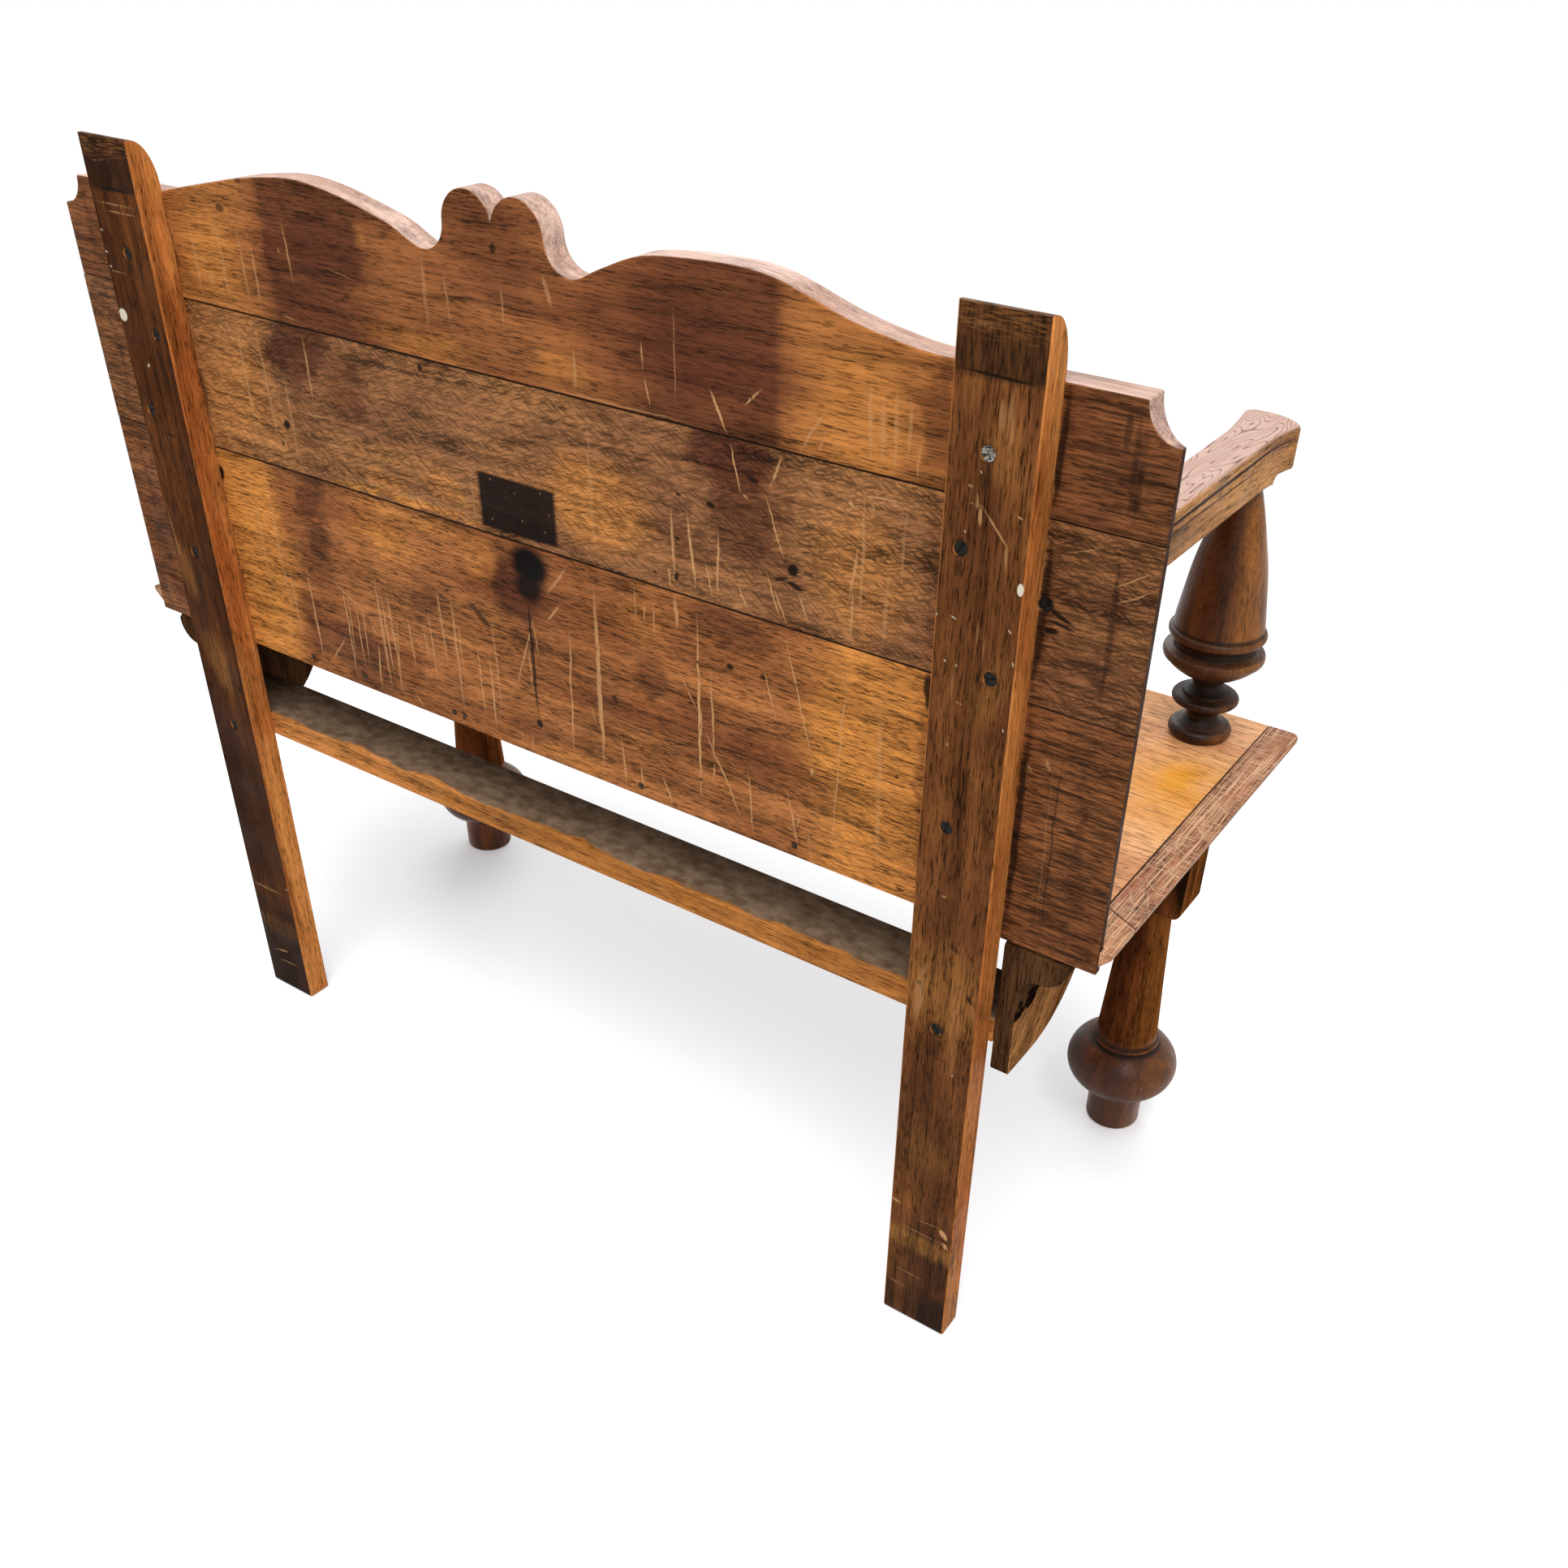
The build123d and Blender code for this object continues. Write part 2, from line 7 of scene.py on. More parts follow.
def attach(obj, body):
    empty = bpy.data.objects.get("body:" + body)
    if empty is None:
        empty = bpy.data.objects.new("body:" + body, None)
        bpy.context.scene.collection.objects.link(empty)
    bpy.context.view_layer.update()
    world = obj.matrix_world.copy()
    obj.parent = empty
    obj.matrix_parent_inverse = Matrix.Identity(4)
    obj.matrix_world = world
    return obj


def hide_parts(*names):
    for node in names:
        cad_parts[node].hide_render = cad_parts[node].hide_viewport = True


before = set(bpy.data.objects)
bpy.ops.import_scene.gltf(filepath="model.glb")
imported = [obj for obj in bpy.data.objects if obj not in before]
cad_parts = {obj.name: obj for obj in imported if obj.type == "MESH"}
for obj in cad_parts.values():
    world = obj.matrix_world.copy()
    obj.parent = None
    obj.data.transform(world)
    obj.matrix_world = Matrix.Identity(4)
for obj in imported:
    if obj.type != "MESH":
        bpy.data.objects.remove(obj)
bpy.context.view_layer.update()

# Rear posts: two flat oak boards that stand on the floor and carry the back. They are sawn
# lengthwise, rounded over at the top front corner and covered in old dark polish that has worn
# off their side edges. The places of marks are in millimetres, x and z, on the rear face.
POST_REAR = 0.216
LEFT_POST_TONES = ("#5A341C", "#82502A")
RIGHT_POST_TONES = ("#3E200E", "#62381A")
POST_BARE = ("#A45C2C", "#CC8646")
POST_OCHRE = "#A8713A"
POST_SCUFF = "#8A5A30"
POST_BLACK = "#1C140F"
BARE_OAK = "#C99866"
PAINT = "#DDD2BD"


def shade(code):
    """An sRGB hex colour as the linear colour that a shader takes."""
    part = np.array([int(code[i:i + 2], 16) for i in (1, 3, 5)]) / 255
    return (*np.where(part <= 0.04045, part / 12.92, ((part + 0.055) / 1.055) ** 2.4), 1.0)


def add(tree, kind, inputs, out=0, **settings):
    """Adds one shader node, sets its options, fills its inputs and returns one of its outputs."""
    node = tree.nodes.new("ShaderNode" + kind)
    for name, value in settings.items():
        setattr(node, name, value)
    for key, value in inputs.items():
        if isinstance(value, bpy.types.NodeSocket):
            tree.links.new(value, node.inputs[key])
        else:
            node.inputs[key].default_value = shade(value) if isinstance(value, str) else value
    return node.outputs[out] if node.outputs else None


def wood(name):
    """An empty material: its node tree and the place on the object, in metres."""
    material = bpy.data.materials.new(name)
    material.use_nodes = True
    material.node_tree.nodes.clear()
    return material, add(material.node_tree, "TexCoord", {}, out="Object")


def grain(tree, place, axis, length, width, low=0.0, high=1.0, twist=0.0, detail=2.0, seed=0.0):
    """Noise drawn out along a board: features `length` mm long on its axis and `width` mm across,
    cut off below `low` and above `high`."""
    scale = [1000 / width] * 3
    scale[axis] = 1000 / length
    drawn = add(tree, "Mapping", {"Vector": place, "Location": (seed, seed, seed), "Scale": scale})
    noise = add(tree, "TexNoise", {"Vector": drawn, "Scale": 1.0, "Detail": detail, "Distortion": twist})
    return add(tree, "MapRange", {0: noise, 1: low, 2: high}, interpolation_type="SMOOTHSTEP")


def oak(tree, place, axis, tones, ring=9.0, pore=1.0, hatch=0.0, seed=0.0, zones=(), bands=1.0):
    """Sawn oak: a tone that changes slowly and by zones, darkened by bands, fibres, growth rings,
    open pores and a hatch of rays, all drawn out along one axis. Gives its colour and its height."""
    dark, light = tones
    broad = grain(tree, place, axis, 240, 45, 0.32, 0.68, twist=0.5, detail=4.0, seed=seed)
    colour = add(tree, "Mix", {0: broad, 6: dark, 7: light}, 2, data_type="RGBA")
    for amount, tone in zones:
        colour = add(tree, "Mix", {0: amount, 6: colour, 7: tone}, 2, data_type="RGBA")
    band = grain(tree, place, axis, 520, 9, 0.3, 0.7, detail=4.0, seed=seed + 2)
    fibre = grain(tree, place, axis, 38, 1.5, 0.3, 0.7, detail=3.0, seed=seed + 3)
    rings = grain(tree, place, axis, 480, ring * 7, 0.0, 1.0, detail=2.0, seed=seed + 7)
    rings = add(tree, "Math", {0: rings, 1: 8.0}, operation="MULTIPLY")
    rings = add(tree, "Math", {0: rings, 1: 1.0}, operation="PINGPONG")
    rings = add(tree, "MapRange", {0: rings, 1: 0.34, 2: 0.0}, interpolation_type="SMOOTHSTEP")
    # Open pores are 0.3 mm wide in oak. They are drawn about 1 mm wide so that they show.
    pores = grain(tree, place, axis, 11, 1.1, 0.54, 0.64, detail=1.0, seed=seed + 11)
    grime = grain(tree, place, axis, 60, 30, 0.48, 0.75, detail=7.0, seed=seed + 17)
    # The parts darken the tone. It starts above 1, so that it comes out near the tone on average.
    factor = 1.5
    for part, depth in ((band, 0.38 * bands), (fibre, 0.42), (rings, 0.26 * bands), (pores, 0.5 * pore),
                        (grime, 0.35 * bands)):
        factor = add(tree, "Math", {0: part, 1: -depth, 2: factor}, operation="MULTIPLY_ADD")
    low = add(tree, "Math", {0: pores, 1: -0.9, 2: 0.0}, operation="MULTIPLY_ADD")
    height = add(tree, "Math", {0: fibre, 1: -0.5, 2: low}, operation="MULTIPLY_ADD")
    if hatch:
        # Rays cut slantwise show as a hatch of short strokes, about 10 mm long, that lie two ways.
        steep = add(tree, "VectorRotate", {"Vector": place, "Angle": 0.5}, rotation_type="Y_AXIS")
        flat = add(tree, "VectorRotate", {"Vector": place, "Angle": -0.3}, rotation_type="Y_AXIS")
        steep = grain(tree, steep, axis, 10.0, 1.4, 0.46, 0.64, twist=0.15, detail=0.0, seed=seed + 1)
        flat = grain(tree, flat, axis, 12.0, 1.5, 0.46, 0.64, twist=0.25, detail=0.0, seed=seed + 19)
        rays = add(tree, "Math", {0: steep, 1: flat}, operation="MAXIMUM")
        factor = add(tree, "Math", {0: rays, 1: -hatch, 2: factor}, operation="MULTIPLY_ADD")
        factor = add(tree, "Math", {0: factor, 1: hatch * 0.45}, operation="ADD")
        height = add(tree, "Math", {0: rays, 1: -0.3, 2: height}, operation="MULTIPLY_ADD")
    factor = add(tree, "Math", {0: factor, 1: 0.2}, operation="MAXIMUM")
    return add(tree, "VectorMath", {0: colour, 1: factor}, operation="MULTIPLY"), height


def marks(tree, place, rows, plane=1, level=POST_REAR, soft=1.0, reach=0.02):
    """How strongly marks cover a place. Each row is an ellipse from one point to another, in mm,
    with a half width and a strength, on the plane square to one axis at a level in metres. A mark
    fades over the outer share `soft` of its size and reaches `reach` metres into the wood."""
    first, second = ((1, 2), (0, 2), (0, 1))[plane]
    total = 0.0
    for a0, b0, a1, b1, half_width, strength in rows:
        middle, turn, size = [level] * 3, [0.0] * 3, [reach] * 3
        middle[first], middle[second] = (a0 + a1) / 2000, (b0 + b1) / 2000
        turn[plane] = np.arctan2(b1 - b0, a1 - a0) * (-1 if plane == 1 else 1)
        size[first] = max(np.hypot(a1 - a0, b1 - b0) / 2000, 0.0005)
        size[second] = half_width / 1000
        inside = add(tree, "Mapping", {"Vector": place, "Location": middle, "Rotation": turn, "Scale": size},
                     vector_type="TEXTURE")
        fall = add(tree, "TexGradient", {"Vector": inside}, out=1, gradient_type="SPHERICAL")
        share = add(tree, "MapRange", {0: fall, 1: 0.0, 2: soft, 4: strength},
                    interpolation_type="SMOOTHSTEP")
        total = add(tree, "Math", {0: share, 1: total}, operation="MAXIMUM")
    return total


def spans(tree, place, rows):
    """How strongly upright bands cover a board. Each row gives a band's two borders along X and how
    far each border fades, in mm, and then its strength."""
    across = add(tree, "SeparateXYZ", {"Vector": place}, out=0)
    total = 0.0
    for low, high, soft_low, soft_high, strength in rows:
        rise = add(tree, "MapRange", {0: across, 1: (low - soft_low) / 1000, 2: (low + soft_low) / 1000,
                                      4: strength}, interpolation_type="SMOOTHSTEP")
        fall = add(tree, "MapRange", {0: across, 1: (high + soft_high) / 1000, 2: (high - soft_high) / 1000},
                   interpolation_type="SMOOTHSTEP")
        band = add(tree, "Math", {0: rise, 1: fall}, operation="MULTIPLY")
        total = add(tree, "Math", {0: band, 1: total}, operation="MAXIMUM")
    return total


def facing(tree, axis, low, high, both=False):
    """Rises from 0 to 1 as a face's direction along an axis, or along it either way, goes from low
    to high."""
    normal = add(tree, "NewGeometry", {}, out="Normal")
    part = add(tree, "SeparateXYZ", {"Vector": normal}, out=axis)
    if both:
        part = add(tree, "Math", {0: part}, operation="ABSOLUTE")
    return add(tree, "MapRange", {0: part, 1: low, 2: high})


def polish(material, colour, height, place, rough=(0.42, 0.62), depth=0.3, shine=0.05):
    """Old shellac: roughness varies in soft patches, and the grain stands up by its height."""
    tree = material.node_tree
    patch = grain(tree, place, 0, 45, 45, 0.35, 0.65)
    roughness = add(tree, "MapRange", {0: patch, 3: rough[0], 4: rough[1]})
    bump = add(tree, "Bump", {"Height": height, "Strength": depth, "Distance": 0.0006})
    surface = add(tree, "BsdfPrincipled", {"Base Color": colour, "Roughness": roughness, "Normal": bump,
                                           "Specular IOR Level": shine})
    add(tree, "OutputMaterial", {"Surface": surface})
    return material


def eased(node, width, material):
    """A copy of a made piece that stands for it, with its corners eased by a round of this width."""
    shape = bmesh.new()
    shape.from_mesh(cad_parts[node].data)
    bmesh.ops.remove_doubles(shape, verts=shape.verts, dist=1e-6)
    if width:
        bmesh.ops.dissolve_limit(shape, angle_limit=0.01, verts=shape.verts, edges=shape.edges)
    mesh = bpy.data.meshes.new(node + "_eased")
    shape.to_mesh(mesh)
    shape.free()
    mesh.attributes.remove(mesh.attributes["custom_normal"])
    mesh.materials.append(material)
    piece = bpy.data.objects.new(node + "_eased", mesh)
    bpy.context.collection.objects.link(piece)
    # Faces that lie along an axis stay flat. The rest belong to sawn or rounded curves.
    normals = np.empty(len(mesh.polygons) * 3)
    mesh.polygons.foreach_get("normal", normals)
    mesh.polygons.foreach_set("use_smooth", np.abs(normals).reshape(-1, 3).max(axis=1) < 0.9999)
    mesh.set_sharp_from_angle(angle=0.6)
    # Corners sharper than 54 degrees are eased. Softer ones are the steps of a sawn curve.
    if width:
        ease = piece.modifiers.new("ease", "BEVEL")
        ease.width, ease.segments, ease.limit_method, ease.angle_limit = width, 2, "ANGLE", 0.95
        ease.use_clamp_overlap = False
    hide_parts(node)
    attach(piece, "root")


def post_oak(name, side, tones, dark_rows, pale_rows, paint_rows, ochre_rows):
    """Dark old polish on the wide faces, worn to orange oak on the narrow ones, black at the top."""
    material, place = wood(name)
    tree = material.node_tree
    dark = marks(tree, place, dark_rows, soft=0.6)
    pale = marks(tree, place, pale_rows, soft=0.5)
    ochre = marks(tree, place, ochre_rows, soft=0.7)
    paint = marks(tree, place, paint_rows, soft=0.25)
    colour, height = oak(tree, place, 2, tones, ring=5.0, pore=1.2, seed=side * 5.0,
                         zones=((ochre, POST_OCHRE),))
    worn, _ = oak(tree, place, 2, POST_BARE, ring=3.0, seed=side * 9.0)
    broken = grain(tree, place, 2, 30, 3, 0.3, 0.55, seed=2.0)
    pale = add(tree, "Math", {0: pale, 1: broken}, operation="MULTIPLY")
    # The top 40 mm are black above a ragged line, and scuffed brown again near the end.
    z = add(tree, "SeparateXYZ", {"Vector": place}, out=2)
    ragged = grain(tree, place, 0, 30, 6, 0.0, 1.0, seed=4.0)
    edge = add(tree, "Math", {0: ragged, 1: 0.006, 2: z}, operation="MULTIPLY_ADD")
    top = add(tree, "MapRange", {0: edge, 1: 0.869, 2: 0.874})
    thick = grain(tree, place, 2, 16, 2.5, 0.25, 0.6, detail=4.0, seed=8.0)
    thick = add(tree, "MapRange", {0: thick, 3: 0.95, 4: 0.62})
    top = add(tree, "Math", {0: top, 1: thick}, operation="MULTIPLY")
    cap = add(tree, "MapRange", {0: edge, 1: 0.893, 2: 0.901, 4: 0.5})
    scuffed = grain(tree, place, 0, 12, 1.6, 0.44, 0.62, detail=4.0, seed=6.0)
    scuffed = add(tree, "Math", {0: scuffed, 1: cap}, operation="MULTIPLY")
    sides = facing(tree, 0, 0.3, 0.75, both=True)
    for share, tone in ((dark, POST_BLACK), (pale, BARE_OAK), (top, POST_BLACK), (scuffed, POST_SCUFF),
                        (sides, worn), (paint, PAINT)):
        colour = add(tree, "Mix", {0: share, 6: colour, 7: tone}, 2, data_type="RGBA")
    return polish(material, colour, height, place, shine=0.02)


LEFT_POST_DARK = (
    (-415, 822, -431, 822, 9, 0.8), (-423, 820, -423, 795, 6, 0.45), (-401, 757, -417, 757, 8.5, 0.9),
    (-409, 752, -409, 735, 5, 0.4), (-432, 671, -447, 671, 8, 0.8), (-408, 543, -424, 543, 8, 0.8),
    (-416, 540, -416, 510, 5, 0.35), (-413, 354, -433, 354, 10, 0.85), (-423, 352, -423, 318, 8, 0.5),
    (-394, 871, -458, 869, 1.6, 0.9), (-402, 396, -408, 392, 3, 0.9), (-408, 404, -411, 401, 2, 0.9),
    (-446, 402, -453, 392, 2.5, 0.9), (-418, 326, -436, 325, 1.5, 0.6), (-417, 86, -433, 87, 0.8, 0.6),
    (-390, 66, -392, -20, 22, 0.75), (-462, 58, -430, -20, 30, 0.85), (-440, 66, -410, -10, 30, 0.6),
    (-430, 487, -420, 462, 10, 0.35), (-400, 430, -404, 410, 5, 0.3), (-427, 442, -440, 436, 4, 0.45),
    (-394, 270, -400, 160, 9, 0.35), (-458, 345, -450, 240, 6, 0.35), (-436, 700, -428, 620, 8, 0.25),
    (-426, 340, -426, 125, 70, 0.26), (-426, 170, -426, -90, 80, 0.45),
)
LEFT_POST_PALE = (
    (-409, 800, -417, 799, 1.2, 0.6), (-418, 798, -419, 784, 1.4, 0.45), (-412, 789, -423, 788, 1, 0.45),
    (-419, 792, -446, 762, 1.1, 0.6), (-421, 789, -422, 774, 1.8, 0.6), (-442, 770, -443, 748, 1.4, 0.5),
    (-447, 788, -452, 786, 1, 0.6), (-430, 860, -431, 835, 3, 0.3), (-436, 866, -438, 820, 3, 0.25),
    (-428, 720, -427, 690, 1, 0.3), (-432, 718, -433, 680, 1, 0.35), (-411, 690, -412, 640, 1, 0.25),
    (-394, 146, -405, 143, 1.6, 0.9), (-444, 136, -453, 124, 4, 0.95), (-447, 121, -455, 113, 3, 0.9),
    (-446, 136, -420, 133, 0.8, 0.5), (-400, 60, -436, 60.5, 0.8, 0.4), (-394, 41, -420, 40, 0.7, 0.5),
    (-396, 118, -458, 118, 1, 0.3), (-415, 647, -421, 646, 0.9, 0.8),
    (-417, 483, -423, 484, 1.2, 0.6), (-425, 905, -450, 905, 1.2, 0.3), (-396, 898, -430, 899, 2.5, 0.4),
    (-438, 420, -441, 300, 4, 0.14), (-408, 420, -404, 350, 5, 0.3),
)
LEFT_POST_PAINT = (
    (-455, 735, -455, 745, 2.6, 1.0), (-406, 709, -411, 707, 0.6, 0.6), (-449, 711, -452, 708, 0.6, 0.6),
    (-394, 709, -396, 706, 0.8, 0.6), (-404, 676, -405, 674, 0.7, 0.6), (-413, 675, -414, 673, 0.6, 0.6),
    (-419, 811, -420, 809, 0.5, 0.6), (-455, 689, -456, 685, 0.6, 0.6), (-411, 613, -412, 611, 0.5, 0.5),
    (-453, 638, -454, 635, 0.5, 0.7), (-441, 315, -442, 313, 0.6, 0.7), (-411, 770, -412, 768, 0.5, 0.7),
)
RIGHT_POST_DARK = (
    (433, 818, 417, 818, 9, 0.7), (425, 815, 425, 798, 5, 0.5), (418, 752, 402, 752, 8, 0.8),
    (411, 750, 409, 690, 5, 0.4), (451, 679, 436, 679, 8, 0.8), (434, 543, 418, 543, 8, 0.75),
    (427, 540, 427, 470, 6, 0.4), (435, 352, 417, 352, 9, 0.7), (438, 661, 407, 659, 1.3, 0.85),
    (458, 869, 394, 869, 2, 0.9), (404, 405, 400, 396, 3, 0.8), (454, 40, 425, -10, 22, 0.5),
    (458, 330, 440, 150, 12, 0.3), (410, 470, 410, 320, 8, 0.2), (453, 26, 446, 34, 5, 0.5),
    (426, 380, 426, 110, 80, 0.6), (426, 170, 426, -110, 90, 0.75),
)
RIGHT_POST_PALE = (
    (458, 857, 394, 857, 1, 0.4), (444, 851, 398, 851, 1, 0.5), (458, 800, 430, 800, 1, 0.3),
    (448, 889, 424, 893, 1.2, 0.5), (430, 899, 410, 899, 1, 0.5), (444, 51, 418, 56, 2, 0.5),
    (440, 38, 405, 40, 1.6, 0.35), (458, 141, 405, 142, 2.4, 0.3), (400, 152, 395, 154, 2, 0.6),
    (455, 600, 450, 520, 2, 0.25),
)
RIGHT_POST_PAINT = (
    (456, 767, 448, 758, 6.5, 1.0), (432.5, 722, 430, 721, 2.0, 0.9), (456, 834, 453, 833, 1, 0.6),
    (455, 804, 452, 803, 1, 0.6), (457, 816, 453, 815, 1, 0.6),
)
LEFT_POST_OCHRE = (
    (-426, 455, -426, 335, 60, 0.45), (-406, 440, -404, 340, 14, 0.4), (-346, 103, -506, 103, 17, 0.85),
    (-425, 860, -440, 790, 22, 0.3), (-450, 700, -430, 620, 18, 0.25), (-400, 240, -455, 190, 30, 0.25),
)
RIGHT_POST_OCHRE = (
    (520, 92, 332, 89, 18, 0.5), (450, 560, 440, 480, 16, 0.3), (440, 470, 410, 380, 26, 0.3),
)
left_post_oak = post_oak("worn_dark_oak_left_post", 1, LEFT_POST_TONES, LEFT_POST_DARK, LEFT_POST_PALE,
                         LEFT_POST_PAINT, LEFT_POST_OCHRE)
right_post_oak = post_oak("worn_dark_oak_right_post", 2, RIGHT_POST_TONES, RIGHT_POST_DARK,
                          RIGHT_POST_PALE, RIGHT_POST_PAINT, RIGHT_POST_OCHRE)
eased("rear_post_left", 0.0, left_post_oak)
eased("rear_post_right", 0.0, right_post_oak)


# Back boards: three oak boards laid edge to edge, the top one sawn by hand to a crest. Their rear
# faces kept a thin old finish, stained dark in places and scored by use, with painted shade in strips
# along the posts' edges, while the sawn top edge was left bare and has faded to a pale pinkish grey,
# and is painted paler still as painted skylight.
BACK_LEVEL = 0.191
PLATE_CENTRE = (0.0105, BACK_LEVEL, 0.677)
TOP_TONES = ("#7E4A2B", "#9C6136")
MIDDLE_TONES = ("#875A3A", "#A06D42")
BOTTOM_TONES = ("#87502D", "#A96B3C")
BACK_DARK = "#532C1D"
BACK_HONEY = "#C9833F"
STAIN_AND_SHADE = "#0E0A08"
# Bare sawn oak, made paler with painted skylight.
SAWN_EDGE_AND_SKYLIGHT = ("#A98676", "#C9AA9A")
JOINT_BROWN = "#3E2617"
WING_TONE = "#70452A"
WING_STROKE = "#2A190E"
HOLE_RIM = "#A8845E"
WING_BAND = ((-700, -458, 1, 3, 0.58), (458, 700, 3, 1, 0.58))


def back_oak(name, tones, seed, honey, dark, bands, seams, stains_and_shade, scores, pore=1.0, hatch=0.0,
             square=False):
    """One back board: oak with honey and dark zones, stains, scores, painted shade along the posts
    and bare sawn edges painted pale with painted skylight.
    """
    material, place = wood(name)
    tree = material.node_tree
    # A noise moves the zones' borders by up to 18 mm, and bands, stains, painted shade lines and scores by
    # up to 2.5 mm.
    wander = add(tree, "TexNoise", {"Vector": place, "Scale": 45.0, "Detail": 5.0, "Roughness": 0.6}, out=1)
    wander = add(tree, "VectorMath", {0: wander, 1: (0.5, 0.5, 0.5)}, operation="SUBTRACT")
    loose = add(tree, "VectorMath", {0: wander, 1: (0.036, 0.0, 0.03), 2: place}, operation="MULTIPLY_ADD")
    close = add(tree, "VectorMath", {0: wander, 1: (0.005, 0.0, 0.005), 2: place}, operation="MULTIPLY_ADD")
    honeyed = marks(tree, loose, honey, level=BACK_LEVEL, soft=0.6)
    # The dark rows hold real dark zones and, along the posts' edges, painted shade.
    dark_and_shade = marks(tree, loose, dark, level=BACK_LEVEL, soft=0.5)
    rear = facing(tree, 1, 0.35, 0.75)
    golden, deep = (add(tree, "Math", {0: spans(tree, close, rows), 1: rear}, operation="MULTIPLY")
                    for rows in bands)
    honeyed = add(tree, "Math", {0: honeyed, 1: golden}, operation="MAXIMUM")
    dark_and_shade = add(tree, "Math", {0: dark_and_shade, 1: deep}, operation="MAXIMUM")
    # The ends of the boards, outside the posts, are a dull brown with darker strokes.
    wing = add(tree, "Math", {0: spans(tree, place, WING_BAND), 1: rear}, operation="MULTIPLY")
    colour, height = oak(tree, place, 0, tones, ring=7.0, pore=pore, hatch=hatch, seed=seed,
                         zones=((honeyed, BACK_HONEY), (dark_and_shade, BACK_DARK), (wing, WING_TONE)))
    strokes = grain(tree, place, 0, 26, 2.2, 0.46, 0.62, detail=2.0, seed=seed + 23)
    strokes = add(tree, "Math", {0: strokes, 1: wing}, operation="MULTIPLY")
    broken = grain(tree, place, 2, 9, 1.5, 0.26, 0.46, seed=seed + 5)
    scored = marks(tree, close, scores, level=BACK_LEVEL, soft=0.6)
    scored = add(tree, "Math", {0: scored, 1: broken}, operation="MULTIPLY")
    # The stain rows hold real stains and, beside the near post, a painted shade line.
    stain_and_shade = marks(tree, close, stains_and_shade, level=BACK_LEVEL, soft=0.5)
    if square:
        # A dark square, 83 by 46 mm, where a metal plate once lay. `far` is 1 along its border.
        apart = add(tree, "VectorMath", {0: close, 1: PLATE_CENTRE}, operation="SUBTRACT")
        apart = add(tree, "VectorMath", {0: apart, 1: (24.0, 0.0, 43.0)}, operation="MULTIPLY")
        apart = add(tree, "VectorMath", {0: apart}, operation="ABSOLUTE")
        wide = add(tree, "SeparateXYZ", {"Vector": apart}, out=0)
        high = add(tree, "SeparateXYZ", {"Vector": apart}, out=2)
        far = add(tree, "Math", {0: wide, 1: high}, operation="MAXIMUM")
        plate = add(tree, "MapRange", {0: far, 1: 1.06, 2: 0.94, 4: 0.96}, interpolation_type="SMOOTHSTEP")
        plate = add(tree, "Math", {0: plate, 1: rear}, operation="MULTIPLY")
        stain_and_shade = add(tree, "Math", {0: plate, 1: stain_and_shade}, operation="MAXIMUM")
    seam = marks(tree, place, seams, level=BACK_LEVEL, soft=0.5)
    stain_and_shade = add(tree, "Math", {0: seam, 1: stain_and_shade}, operation="MAXIMUM")
    holes = marks(tree, place, PLATE_HOLES if square else (), level=BACK_LEVEL)
    for share, tone in ((strokes, WING_STROKE), (scored, BARE_OAK), (stain_and_shade, STAIN_AND_SHADE), (holes, HOLE_RIM)):
        colour = add(tree, "Mix", {0: share, 6: colour, 7: tone}, 2, data_type="RGBA")
    # Above the boards' top corners the sawn edge is bare wood, painted paler as painted skylight on it. The
    # ends and the joints below are brown.
    bare, _ = oak(tree, place, 0, SAWN_EDGE_AND_SKYLIGHT, ring=3.0, pore=0.15, seed=seed + 13)
    level = add(tree, "SeparateXYZ", {"Vector": place}, out=2)
    above = add(tree, "MapRange", {0: level, 1: 0.8415, 2: 0.8435})
    edge = add(tree, "Mix", {0: above, 6: JOINT_BROWN, 7: bare}, 2, data_type="RGBA")
    flat = facing(tree, 1, 0.35, 0.75, both=True)
    colour = add(tree, "Mix", {0: flat, 6: edge, 7: colour}, 2, data_type="RGBA")
    height = add(tree, "Math", {0: scored, 1: -0.8, 2: height}, operation="MULTIPLY_ADD")
    return polish(material, colour, height, place, rough=(0.45, 0.68))


PLATE_HOLES = tuple(
    (x + 1, z, x - 1, z, 1.3, 0.8)
    for x, z in ((38, 696), (12, 690), (-16, 696), (40, 662), (-18, 664), (6, 668), (-24, 680))
)
# Rows at x = ±461 to ±462 are painted shade along the posts' outer edges; the rest are dark streaks in the
# wings.
WING_DARK = tuple(
    (side * x0, z0, side * x1, z1, half, strength)
    for side in (-1, 1)
    for x0, z0, x1, z1, half, strength in (
        (511, 862, 511, 778, 4, 0.75), (503, 850, 500, 785, 9, 0.5), (462, 875, 461, 780, 5, 0.6),
        (511, 785, 511, 645, 3, 0.6), (462, 784, 461, 645, 5, 0.6), (511, 655, 509, 445, 4, 0.6),
        (512, 560, 512, 470, 12, 0.5), (462, 650, 461, 440, 5, 0.6), (540, 500, 520, 445, 10, 0.5),
    )
)
TOP_HONEY = (
    (400, 830, 285, 815, 60, 0.7), (-255, 815, -372, 815, 75, 0.6), (165, 861, 140, 868, 9, 0.7),
    (190, 796, 20, 792, 16, 0.45), (0, 800, -100, 798, 14, 0.35), (-180, 890, -215, 875, 14, 0.25),
)
